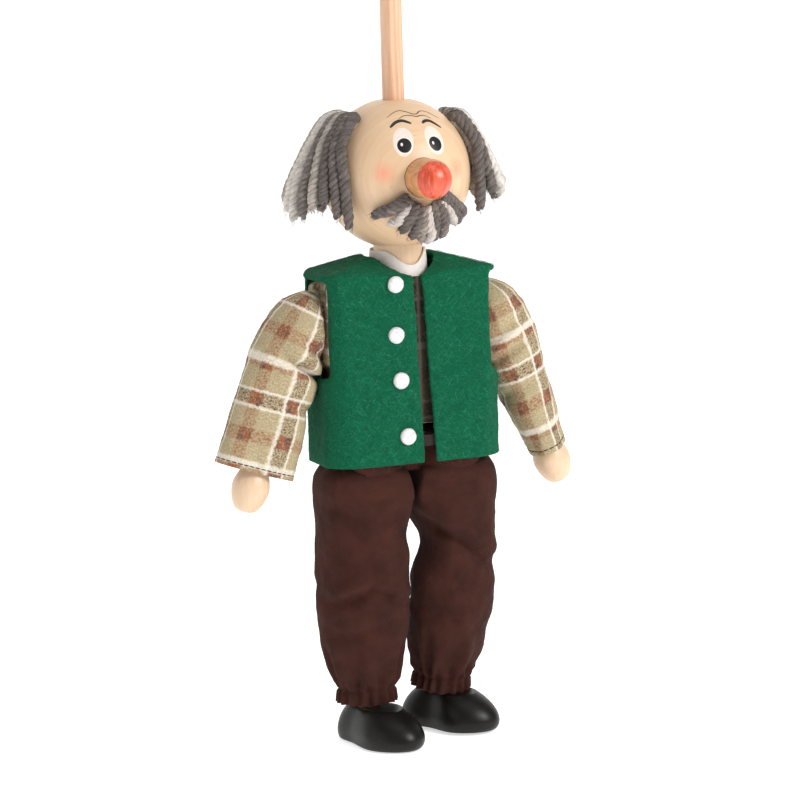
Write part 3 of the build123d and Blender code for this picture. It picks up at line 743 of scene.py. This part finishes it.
def hair(side, sign):
    """A bunch of strands glued high on the head: an under layer on the ball and an outer one that flares."""
    bundle, loose = Strands(), Strands()
    outer = OUTER[side]
    first, last = HAIR_ROOTS[side]
    out, up = ROOT_AT[side]
    for i, (flare, tint) in enumerate(outer):
        share = i / (len(outer) - 1)
        root = first + share * (last - first)
        end = HAIR_ENDS[0] + share * (HAIR_ENDS[1] - HAIR_ENDS[0])
        drop = HAIR_DROP[side] - 3.5 * math.sin(5.1 * i + 1) - 2.5 * (flare < 0.3)
        far = [22.5 + 3 * flare, 29.2 + 2.6 * flare, 30.0 + 8.2 * flare, 29.7 + 11 * flare]
        path = [round_head(sign * a, r, z) for a, r, z in (
            (root, out, up), (0.75 * root + 0.25 * end, far[0], 20.2), (0.5 * (root + end), far[1], 11.0),
            (0.2 * root + 0.8 * end, far[2], -1.5), (end, far[3], drop))]
        yarn_strand(bundle, loose, path, tint)
    for i in range(UNDER_STRANDS):
        share = (i + 0.5) / UNDER_STRANDS
        root = first + share * (last - first)
        end = HAIR_ENDS[0] + 6 + share * (HAIR_ENDS[1] - HAIR_ENDS[0] - 12)
        drop = -9 - 3 * math.sin(3.7 * i)
        path = [round_head(sign * a, r, z) for a, r, z in (
            (root, out - 0.8, up - 0.4), (0.6 * root + 0.4 * end, 25.6, 14.5),
            (0.3 * root + 0.7 * end, 29.6, 3), (end, 30.2 + 3 * math.sin(math.pi * share), drop))]
        yarn_strand(bundle, loose, path, 0.18 + 0.5 * abs(math.sin(2.3 * i + sign)))
    look = yarn(f"hair_wool_{side}", HAIR_DARK, HAIR_LIGHT)
    finish_piece(bundle.object(f"hair_{side}"), look, "root", "hair_yarn", f"hair_tuft_{side}")
    finish_piece(loose.object(f"hair_fuzz_{side}"), look, "root", "hair_yarn")


# Each moustache strand: angle and elevation of its root and its end, how far its end stands off the ball,
# and how pale it is.
MOUSTACHE = [
    (-14, -12, -43, -27, 0.1, 0.14), (-12, -15, -37, -24.5, 0.9, 0.24), (-11, -19, -27, -31, 1.6, 0.86),
    (-8, -18, -17, -31, 2.2, 0.2), (-6, -20, -20, -39, 1.0, 0.16), (-3, -22, -10, -44, 1.8, 0.22),
    (-1, -21, -2, -45, 2.6, 0.45), (2, -21, 6, -47, 3.0, 0.84), (5, -20, 15, -47, 1.8, 0.2),
    (8, -18, 24, -46, 1.4, 0.38), (10, -17, 19, -36, 2.4, 0.28), (12, -17, 31, -34, 1.4, 0.82),
    (14, -14, 40, -36, 0.6, 0.16), (15, -11, 46, -31, 0.2, 0.24),
]


def moustache():
    bundle, loose = Strands(), Strands()
    for azimuth, elevation, end_azimuth, end_elevation, stand, tint in MOUSTACHE:
        share = np.linspace(0, 1, 4)
        curl = 2.2 * np.sin(share * 9 + azimuth)
        path = on_ball(azimuth + share * (end_azimuth - azimuth) + curl * share,
                       elevation + share**0.9 * (end_elevation - elevation),
                       HEAD_R + 1.9 + stand * np.sin(share * 1.9) + 1.2 * np.sin(math.pi * share))
        yarn_strand(bundle, loose, path, tint, 1.75)
    look = yarn("moustache_wool", HAIR_DARK, rgb(214, 206, 200), rgb(176, 162, 150))
    finish_piece(bundle.object("moustache_yarn"), look, "root", "moustache_yarn", "moustache")
    finish_piece(loose.object("moustache_fuzz"), look, "root", "moustache_yarn")


# ---------------- torso ----------------
COLLAR_R, COLLAR_TOP, COLLAR_NOTCH = 11.0, -54.4, 5.4


def collar():
    """A stand-up band of white cotton that opens in a V under the chin."""
    angle = np.radians(np.linspace(-178, 178, 180))
    share = np.linspace(0, 1, 14)[:, None]
    open_front = 1 - ease(np.abs(angle - 0.12), 0.02, 1.0)
    top = COLLAR_TOP - COLLAR_NOTCH * open_front + 0.25 * np.sin(5 * angle + 1)
    foot = BLOCK_TOP + 0.2
    height = foot + share * (top - foot)
    radius = COLLAR_R - 0.9 * share + 0.18 * np.sin(3 * angle + 2) + 0.3 * share * np.sin(2 * angle)
    grid = np.stack([radius * np.sin(angle), -radius * np.cos(angle), height], -1)
    around = np.broadcast_to(COLLAR_R * angle, height.shape)
    band = surface("collar_band", grid, around, height, wrap=False)
    thicken(band, 0.8)
    cloth = cotton("collar_cotton", rgb(248, 242, 236), rgb(228, 220, 214))
    finish_piece(band, cloth, "root", "collar_cloth", "shirt_collar")


def soft_shell(points, wave, ripple):
    """The points moved a little in and out from the body, as felt is never flat."""
    out = unit(points * (1, 2.2, 0) + 1e-6)
    push = wave * bumps(points * (1, 0.6, 1), 24, 2) + ripple * bumps(points, 5, 2)
    return points + out * push[:, None]


NECK_SCOOP = 2.4


def vest():
    """The felt waistcoat, a little wavy and lower at the throat, with fibres standing off it."""
    felt_green = felt("vest_felt", rgb(0, 97, 64), rgb(0, 76, 50), rgb(44, 136, 100))
    body = softened("vest_felt", "vest", 0.62, 3)
    points = soft_shell(points_of(body), 0.75, 0.16)
    x, y, z = points.T
    points[:, 2] -= NECK_SCOOP * bell(x, 1.5, 9) * ease(-y, 2, 9) * ease(z, -70, -61)
    move_points(body, points)
    finish_piece(body, felt_green, "root", "vest_felt", "vest")
    hairs = Look("vest_hair", Roughness=0.9)
    tint = hairs.node("Attribute", attribute_name="tint").outputs["Fac"]
    hairs.done(hairs.ramp(tint, (0.2, rgb(0, 88, 58)), (0.85, rgb(28, 126, 90)), (1.0, rgb(96, 166, 136))))
    fibres = fuzz("vest_hairs", body, 9000, (1.2, 3.2), (0.1, 0.5), (0.0, 1.0), 0.03)
    finish_piece(fibres, hairs.material, "root", "vest_felt")


def buttons():
    """Fluffy white felt discs, each where its CAD disc is."""
    points = node_points("vest_buttons")
    points = points[np.argsort(points[:, 2])]
    groups = np.split(points, np.where(np.diff(points[:, 2]) > 5)[0] + 1)
    look = felt("button_felt", rgb(244, 242, 242), rgb(226, 224, 224), rgb(255, 255, 255))
    pile = Look("button_pile", Roughness=0.9)
    pile.done(rgb(250, 249, 249))
    for number, group in enumerate(groups):
        centre = (group.min(0) + group.max(0)) / 2
        radius = (group[:, 0].max() - group[:, 0].min()) / 2
        turn = np.linspace(0, 2 * math.pi, 56, endpoint=False)
        rows = [(0.0, 1.55), (0.4, 1.55), (0.7, 1.45), (0.9, 1.15), (1.0, 0.6), (0.98, 0.1), (0.9, -0.3)]
        grid = np.array([[(r * radius * math.cos(a), -y, r * radius * math.sin(a)) for a in turn]
                         for r, y in rows])
        grid = grid * (1 + 0.035 * bumps(grid + number * 9, 2.2))[..., None]
        disc = surface(f"button_{number + 1}", grid + centre + (0, 0.6, 0))
        refine = disc.modifiers.new("refine", "SUBSURF")
        refine.levels = 2
        bake(disc)
        finish_piece(disc, look, "root", "button_felt", *(["vest_buttons"] if number == 0 else []))
        front = fuzz(f"button_pile_{number + 1}", disc, 700, (0.5, 1.1), (0.15, 0.45), radius=0.03)
        finish_piece(front, pile.material, "root", "button_felt")


ARMHOLE_GAP = 0.9
LEG_X = abs(pivot("hip_swing_left")[0])
SEAT_ROUND = 18.5


def fill_armholes(points):
    """The shirt bunched out at each side to the armhole's edge, with a pocket for the arm's end."""
    x, y, z = points.T
    sign = np.sign(x)
    for side, number in SIDES.items():
        here = sign == number
        edge = np.abs(node_points(f"sleeve_upper_{side}")[:, 0]).min() - ARMHOLE_GAP
        wall = np.interp(z, (-118, -84), (22.0, 28.5))
        reach = (edge - wall) * ease(np.abs(x), wall - 5, wall - 1.1) * (1 - ease(np.abs(y), 9.5, 12.3))
        reach = reach * ease(z, -99, -93) * (1 - ease(z, -67, -64))
        pocket = ease(np.hypot(y, z - pivot(f"shoulder_raise_{side}")[2]), 6.3, 8.5)
        points[here, 0] += number * (reach * pocket)[here]
    return points


def under_clothes():
    """The shirt's body and the seat of the trousers, which show at the armholes, the slit and the hem."""
    shirt = softened("shirt_torso", "shirt_body", 0.6, 2)
    move_points(shirt, fill_armholes(points_of(shirt)))
    box_uv(shirt)
    # The shirt's plaid carries painted shade: dark in the middle of the front, where the vest's shadow falls.
    finish_piece(shirt, plaid("shirt_plaid_shaded", (5, 3), 0.12), "root", "plaid_flannel", "shirt_body")
    seat = softened("trouser_hips", "trouser_seat", 0.6, 3)
    points = points_of(seat)
    from_leg = np.clip(LEG_X - np.abs(points[:, 0]), 0, LEG_X)
    points[:, 1] *= np.maximum(0.6, np.sqrt(1 - (from_leg / SEAT_ROUND) ** 2))
    points[:, 1] *= 1 - 0.06 * (1 - ease(points[:, 2], -136.5, -131))
    move_points(seat, points)
    box_uv(seat)
    finish_piece(seat, TWILL, "root", "trouser_twill", "trouser_seat")


# ---------------- sleeves and trouser legs ----------------
SLEEVE_RINGS, SLEEVE_AROUND = 150, 128
LEG_RINGS, LEG_AROUND = 190, 192
INNER_GAP = 0.35


def rounded_line(corners, count, soften):
    """Points along straight runs whose corners are rounded off, with their distances from the first."""
    corners = np.array(corners, float)
    runs = np.concatenate([[0], np.cumsum(np.linalg.norm(np.diff(corners, axis=0), axis=1))])
    along = np.linspace(0, runs[-1], count)
    line = np.stack([np.interp(along, runs, corners[:, k]) for k in range(3)], -1)
    reach = max(1, int(soften / (along[1] - along[0])))
    kernel = np.bartlett(2 * reach + 3)[1:-1]
    kernel /= kernel.sum()
    before = 2 * line[0] - line[1:reach + 1][::-1]
    after = 2 * line[-1] - line[-reach - 1:-1][::-1]
    padded = np.vstack([before, line, after])
    return np.stack([np.convolve(padded[:, k], kernel, "valid") for k in range(3)], -1), along


def tube_grid(line, across, half_a, half_b, around, turn=0.0, square=2.0):
    """Rings about a line: half_a lies along the across direction, which is angle 0, half_b square to it."""
    tangent = unit(np.gradient(line, axis=0))
    side = unit(across - (tangent @ across)[:, None] * tangent)
    other = np.cross(tangent, side)
    turn = np.broadcast_to(turn, len(line))[:, None]
    side, other = np.cos(turn) * side + np.sin(turn) * other, np.cos(turn) * other - np.sin(turn) * side
    angle = np.linspace(0, 2 * math.pi, around, endpoint=False)
    c, s = np.cos(angle), np.sin(angle)
    a = np.sign(c) * np.abs(c) ** (2 / square) * half_a[:, None]
    b = np.sign(s) * np.abs(s) ** (2 / square) * half_b[:, None]
    out = unit(c[None, :, None] * side[:, None] + s[None, :, None] * other[:, None])
    return line[:, None] + a[..., None] * side[:, None] + b[..., None] * other[:, None], out, angle


def cloth_uv(grid, along):
    """Millimetres round each ring, from the widest ring's girth, and millimetres along the tube."""
    closed = np.concatenate([grid, grid[:, :1]], 1)
    girth = np.linalg.norm(np.diff(closed, axis=1), axis=2).sum(1).max()
    u = np.broadcast_to(np.linspace(0, girth, grid.shape[1] + 1), (len(along), grid.shape[1] + 1))
    return u, np.broadcast_to(along[:, None], u.shape)


def pressed(x, wall, soft):
    """Distances that stay beyond a wall, eased over a soft width in front of it."""
    start = wall + soft
    return np.where(x < start, wall + soft * np.exp((np.minimum(x, start) - start) / soft), x)


def stitches(name, ring, length, gap, radius, material):
    """A closed row of thread dashes along a ring of points."""
    ring = np.vstack([ring, ring[:1]])
    runs = np.concatenate([[0], np.cumsum(np.linalg.norm(np.diff(ring, axis=0), axis=1))])
    count = int(runs[-1] / (length + gap))
    rows = Strands()
    for i in range(count):
        at = np.linspace(0, length, 6) + i * runs[-1] / count
        dash = np.stack([np.interp(at, runs, ring[:, k]) for k in range(3)], -1)
        rows.tube(dash, radius * np.array([0.5, 1, 1.1, 1.1, 1, 0.5]), 8, 0)
    obj = rows.object(name)
    obj.data.materials.append(material)
    return obj


# SLEEVE_TOP holds distances from the sleeve's start, then its radius at each.
SLEEVE_FROM = -0.8
SLEEVE_TOP = (0, 1.3, 2.8, 4.3, 7.5, 13), (0.5, 4.4, 6.0, 7.5, 10.0, 11.7)
CUFF_FROM_ELBOW = 41.5
STITCH_INSET = 2.0
SLEEVES = {
    "right": dict(cuff=(14.9, 7.2), turn=0.0, elbow=(13.6, 11.2), phase=0, fold=4.4, shift=(2.5, -1.5)),
    "left": dict(cuff=(7.1, 13.5), turn=18.0, elbow=(12.2, 11.2), phase=math.pi, fold=3.2, shift=(9.0, 6.0)),
}


def arm_axis(side):
    """The forearm's direction: its CAD peg is turned about the line from the elbow to the hand."""
    peg = node_points(f"forearm_hand_{side}")
    return unit((peg.min(0) + peg.max(0)) / 2 * (1, 0, 1) - pivot(f"elbow_{side}") * (1, 0, 1))


def sleeve(side, sign):
    """A flannel sleeve from the shoulder cord to a stitched cuff, creased inside the elbow."""
    spec = SLEEVES[side]
    shoulder, elbow = pivot(f"shoulder_raise_{side}"), pivot(f"elbow_{side}")
    cuff = elbow + CUFF_FROM_ELBOW * arm_axis(side)
    start = shoulder + SLEEVE_FROM * unit(elbow - shoulder)
    bend = np.linalg.norm(elbow - start)
    line, along = rounded_line([start, elbow, cuff], SLEEVE_RINGS, 5)
    past = along - bend
    at = [*SLEEVE_TOP[0], bend, bend + 14, along[-1]]
    (elbow_a, elbow_b), (cuff_a, cuff_b) = spec["elbow"], spec["cuff"]
    half_a = np.interp(along, at, [*SLEEVE_TOP[1], elbow_a, 0.55 * elbow_a + 0.45 * cuff_a, cuff_a])
    half_b = np.interp(along, at, [*SLEEVE_TOP[1], elbow_b, 0.7 * elbow_b + 0.3 * cuff_b, cuff_b])
    across = np.cross((0, 1, 0), unit(elbow - shoulder))
    turn = math.radians(sign * spec["turn"]) * ease(past, -6, CUFF_FROM_ELBOW)
    grid, out, angle = tube_grid(line, across, half_a, half_b, SLEEVE_AROUND, turn, 2.25)
    u, v = cloth_uv(grid, along)
    inner = ease(-np.cos(angle - spec["phase"]) + 0.55 * np.clip(-np.sin(angle), 0, 1), -0.15, 0.75)[None, :]
    front = ease(-np.sin(angle), -0.3, 0.7)[None, :]
    slant = past[:, None] + 3.0 * np.cos(angle - spec["phase"])[None, :]
    crease = spec["fold"] * (0.3 * bell(slant, -5, 4) - 0.75 * bell(slant, -0.5, 1.5)
                             + 0.15 * bell(slant, 5.5, 4))
    lesser = -1.6 * bell(slant, -9, 1.7) * inner * front - 1.0 * bell(slant, 13, 2.5) * inner
    from_cuff = along[-1] - along
    hem = 0.22 * (1 - ease(from_cuff, 3.8, 4.4)) - 0.3 * bell(from_cuff, STITCH_INSET, 0.45)
    soft = ease(along, 0, 9)[:, None]
    push = crease * inner + lesser + hem[:, None] + soft * (0.9 * bumps(grid * (1, 1, 0.6) + sign * 40, 11)
                                                           + 0.12 * bumps(grid, 2.6))
    grid = grid + out * push[..., None]
    inner_wall = np.abs(node_points(f"sleeve_upper_{side}")[:, 0]).min() + 0.3
    grid[..., 0] = sign * pressed(sign * grid[..., 0], inner_wall, 1.2)
    cloth = surface(f"sleeve_{side}", grid, u, v)
    stitch_ring = grid[np.searchsorted(along, along[-1] - STITCH_INSET)] + 0.1 * out[-1]
    thicken(cloth, 0.8)
    seam = stitches(f"cuff_stitches_{side}", stitch_ring, 1.9, 0.35, 0.17, BLACK_THREAD)
    across_elbow = 7 * arm_axis(side) * MM
    start, end = (Vector(elbow * MM - across_elbow), Vector(elbow * MM + across_elbow))
    finish_piece(cloth, plaid(f"sleeve_plaid_{side}", spec["shift"]), None, "plaid_flannel",
                 f"sleeve_upper_{side}", f"sleeve_lower_{side}")
    hairs = fuzz(f"sleeve_hairs_{side}", cloth, 3600, (0.5, 1.3), (0.1, 0.45), radius=0.025)
    finish_piece(hairs, FLANNEL_HAIR, None, "plaid_flannel")
    for piece in (cloth, hairs):
        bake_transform(piece)
    finish_piece(seam, BLACK_THREAD, f"forearm_{side}", "plaid_flannel")


LEG_HALF = (17.2, 15.0)
DOME = 16.4
HIP_ROUND = 17.1
# Distances below the hip, then the share of the leg's full width at each.
LEG_TOP = [(-16.4, 0.36), (-14.6, 0.62), (-12.8, 0.8), (-8, 0.95), (-3.3, 1.0)]
LEG_FOOT = [(71.5, 0.62), (73.0, 0.61), (77.6, 0.64)]
LEG_SHAPE = {
    "right": LEG_TOP + [(12, 1.0), (33, 1.04), (42, 1.04), (53.5, 0.95), (61, 0.85), (68.5, 0.69)] + LEG_FOOT,
    "left": LEG_TOP + [(10, 1.02), (26, 0.95), (38, 0.93), (50, 0.94), (59, 0.86), (67, 0.69)] + LEG_FOOT,
}
LEG_SMOOTHING = 3
FRILL = 5.4
PLEATS = 17
ELASTIC_AT = 72.2
SPLAY_ROOM = 0.23  # the inner side draws back by this share of the height above the hip
CAP_CLOSING = 0.04, 0.4, 0.8  # shares of the first rings' width, which close the top


def leg_folds(side, angle, along):
    """How far the trouser cloth of one leg stands out or in at each angle and distance from the hip."""
    outward = np.cos(angle)[None, :]
    front = np.sin(angle)[None, :]
    s = along[:, None]
    if side == "left":
        slant = s - 17 - 11 * outward
        folds = (2.3 * bell(slant, -3.5, 4.5) - 3.6 * bell(slant, 2.6, 3.4)) * ease(front, 0.15, 0.85)
        folds = folds - 5.5 * bell(s, 19, 9.5) * ease(-outward, 0.2, 1.0)
        folds = folds - 1.4 * bell(s - 33 + 9 * outward, 0, 3.5) * ease(-front, -0.1, 0.6)
        return folds - 1.2 * bell(s - 48 - 4 * outward, 0, 3) * ease(front, 0.1, 0.7)
    high = 33 + 7 * np.abs(outward - 0.15)
    folds = (1.5 * bell(s, high - 3.6, 3.2) - 2.4 * bell(s, high, 2.3)) * ease(front, 0.1, 0.8)
    folds = folds - 1.6 * bell(s - 8 + 8 * outward, 0, 3.6) * ease(front, -0.2, 0.6)
    folds = folds - 1.2 * bell(s - 47 - 5 * outward, 0, 2.6) * ease(front, 0.0, 0.7)
    return folds - 1.3 * bell(s - 40 + 8 * outward, 0, 3.2) * ease(-front, -0.1, 0.6)


def trouser_leg(side, sign):
    """A twill leg, rounded under the hips, folded at the knee and gathered by elastic above a short frill."""
    hip, knee = pivot(f"hip_swing_{side}"), pivot(f"knee_{side}")
    ankle = np.array([sum(span(f"ankle_elastic_{side}", k)) / 2 for k in range(3)])
    end = ankle + FRILL * unit(ankle - knee)
    line, along = rounded_line([hip + (0, 0, DOME), knee, end], LEG_RINGS, 9)
    below = along - DOME
    share = np.interp(below, *np.array(LEG_SHAPE[side]).T)
    window = 2 * LEG_SMOOTHING + 1
    share = np.convolve(np.pad(share, LEG_SMOOTHING, "edge"), np.ones(window) / window, "valid")
    share[:3] *= CAP_CLOSING
    tight = ease(below, 60, 72)
    under_arch = np.sqrt(HIP_ROUND**2 - np.clip(-below, 0, DOME) ** 2)
    deep = LEG_HALF[1] * (np.where(below < 0, 1.0, share) + 0.06 * tight)
    deep[:3] *= CAP_CLOSING
    half_a, half_b = LEG_HALF[0] * share, np.minimum(deep, under_arch)
    square = (2.0 + 0.9 * bell(below, -6, 13))[:, None]
    grid, out, angle = tube_grid(line, np.array([sign, 0.0, 0.0]), half_a, half_b, LEG_AROUND, square=square)
    angle = angle * sign
    u, v = cloth_uv(grid, along)
    wander = 1.3 * np.sin(2 * angle + 1) + 0.8 * np.sin(5 * angle)
    pleat = np.cos(PLEATS * angle + wander)[None, :]
    depth = 0.75 * ease(below, 64, 71.5) + 0.1 * ease(below, 72.5, 75)
    long_pleat = np.cos(0.5 * (PLEATS + 1) * angle + wander + 1)[None, :]
    push = depth[:, None] * pleat * (1 - 0.45 * bell(below, ELASTIC_AT, 0.7)[:, None])
    push = push + (1.1 * ease(below, 48, 66) * (1 - ease(below, 69, 71)))[:, None] * long_pleat
    push = push - 0.5 * bell(below, ELASTIC_AT, 0.8)[:, None]
    loose = (ease(below, -8, 6) * (1 - ease(below, 66, 71)))[:, None]
    push = push + loose * (leg_folds(side, angle, below) + 1.1 * bumps(grid * (1, 1, 0.8) + sign * 70, 15)
                           + 0.22 * bumps(grid, 4.5))
    grid = grid + out * push[..., None]
    grid[..., 0] -= sign * 5 * bell(below, -4, 8)[:, None] * ease(-np.cos(angle), 0, 0.9)[None, :]
    wall = INNER_GAP + SPLAY_ROOM * np.clip(-below, 0, DOME)[:, None]
    grid[..., 0] = sign * pressed(sign * grid[..., 0], wall, 1.25)
    cloth = surface(f"trouser_leg_{side}", grid, u, v)
    thicken(cloth, 0.7)
    finish_piece(cloth, TWILL, None, "trouser_twill", f"trouser_thigh_{side}", f"trouser_shin_{side}")
    lint = fuzz(f"trouser_lint_{side}", cloth, 700, (0.5, 1.4), (0.08, 0.3), radius=0.022)
    finish_piece(lint, TWILL_LINT, None, "trouser_twill")
    for piece in (cloth, lint):
        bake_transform(piece)


# ---------------- shoes, hands and hidden parts ----------------
def shoe(side):
    made = softened(f"shoe_leather_{side}", f"shoe_{side}", 0.42, 6)
    finish_piece(made, SHOE, f"lower_leg_{side}", "shoe_paint", f"shoe_{side}")


def keep(material, *nodes):
    """CAD nodes whose own shape shows, with a better material."""
    for node in nodes:
        slots = frame["nodes"][node].data.materials
        slots.clear()
        slots.append(material)


TWILL = twill("trouser_twill", rgb(80, 43, 34), rgb(45, 23, 18))
SHOE = shoe_paint()
BLACK_THREAD = thread("black_thread", rgb(26, 22, 24))
CORD = thread("cotton_cord", rgb(222, 210, 190))
ELASTIC = thread("gather_elastic", rgb(42, 28, 25))
FLANNEL_HAIR = Look("flannel_hair", Roughness=0.9).done(rgb(222, 208, 184))
TWILL_LINT = Look("twill_lint", Roughness=0.9).done(rgb(98, 64, 52))

keep(rod_wood(), "control_rod")
face()
moustache()
collar()
vest()
buttons()
under_clothes()
bare = plain_wood("bare_beech", rgb(232, 204, 170), rgb(206, 168, 128))
sealed = plain_wood("hand_beech", rgb(230, 200, 168), rgb(221, 187, 153), 0.4)
keep(bare, "torso_block")
keep(sealed, "neck_dowel")
keep(ELASTIC, "waist_elastic")
for side, sign in SIDES.items():
    hair(side, sign)
    sleeve(side, sign)
    trouser_leg(side, sign)
    shoe(side)
    keep(sealed, f"forearm_hand_{side}")
    keep(bare, f"upper_arm_{side}", f"thigh_{side}", f"shin_{side}")
    keep(CORD, *[f"{part}_{side}" for part in ("shoulder_cord", "shoulder_knot", "elbow_cord", "hip_cord",
                                               "hip_knot", "knee_cord")])
    keep(ELASTIC, f"ankle_elastic_{side}")


# ---------------- studio ----------------
CAMERA_AZIMUTH, CAMERA_ELEVATION, CAMERA_ROLL = -22.0, 9.0, -1.7
CAMERA_DISTANCE, CAMERA_TARGET_Z, LENS, SENSOR = 1171.0, -113.0, 142.5, 36.0
CAMERA_SHIFT = (-0.0031, 0.0075)
LIGHT_DISTANCE = 900
LIGHTS = {"key": (30, 30, 340, 6.0), "fill": (-80, 15, 700, 1.2), "top": (0, 80, 600, 1.2)}
FLOOR_GAP = 0.4
FLOOR_FRONT, SWEEP_START, SWEEP_R = -2500, 900, 500


def seen_from(azimuth, elevation):
    """The direction from the puppet to a camera or a light."""
    a, e = math.radians(azimuth), math.radians(elevation)
    return Vector((math.sin(a) * math.cos(e), -math.cos(a) * math.cos(e), math.sin(e)))


def camera():
    back = seen_from(CAMERA_AZIMUTH, CAMERA_ELEVATION)
    data = bpy.data.cameras.new("camera")
    data.lens, data.sensor_width = LENS, SENSOR
    data.shift_x, data.shift_y = CAMERA_SHIFT
    data.clip_start = 0.05
    obj = bpy.data.objects.new("camera", data)
    bpy.context.scene.collection.objects.link(obj)
    level = back.to_track_quat("Z", "Y").to_matrix().to_4x4()
    place = Matrix.Translation((back * CAMERA_DISTANCE + Vector((0, 0, CAMERA_TARGET_Z))) * MM)
    obj.matrix_world = place @ level @ Matrix.Rotation(math.radians(CAMERA_ROLL), 4, "Z")
    bpy.context.scene.camera = obj


def area_light(name, azimuth, elevation, size, power):
    """A soft square light that faces the puppet."""
    back = seen_from(azimuth, elevation)
    light = bpy.data.lights.new(name, "AREA")
    light.size, light.energy = size * MM, power
    obj = bpy.data.objects.new(name, light)
    bpy.context.scene.collection.objects.link(obj)
    obj.location = (back * LIGHT_DISTANCE + Vector((0, 0, CAMERA_TARGET_Z))) * MM
    obj.rotation_euler = back.to_track_quat("Z", "Y").to_euler()


def studio():
    """A pale sweep of floor that curves up into a wall, big soft lights and a bright surround."""
    ground = CAD_BOX[0].z / MM - FLOOR_GAP
    bend = np.linspace(0.1, 1.57, 14)
    depth = np.concatenate([np.linspace(FLOOR_FRONT, SWEEP_START, 12), SWEEP_START + SWEEP_R * np.sin(bend),
                            [SWEEP_START + SWEEP_R] * 4])
    height = np.concatenate([np.zeros(12), SWEEP_R * (1 - np.cos(bend)), [900, 1500, 2200, 3000]])
    x = np.linspace(-3000, 3000, 9)
    grid = np.stack([np.broadcast_to(x, (len(depth), 9)), np.repeat(depth[:, None], 9, 1),
                     ground + np.repeat(height[:, None], 9, 1)], -1)
    floor = surface("floor", grid, wrap=False)
    pale = Look("floor_pale", Roughness=0.9, Emission_Color=(1, 1, 1, 1), Emission_Strength=0.6)
    floor.data.materials.append(pale.done(rgb(250, 250, 250)))
    world = bpy.data.worlds.new("surround")
    world.use_nodes = True
    world.node_tree.nodes["Background"].inputs["Color"].default_value = (1, 1, 1, 1)
    world.node_tree.nodes["Background"].inputs["Strength"].default_value = 0.26
    bpy.context.scene.world = world
    for name, settings in LIGHTS.items():
        area_light(name, *settings)
    bpy.context.scene.view_settings.view_transform = "Standard"


camera()
studio()
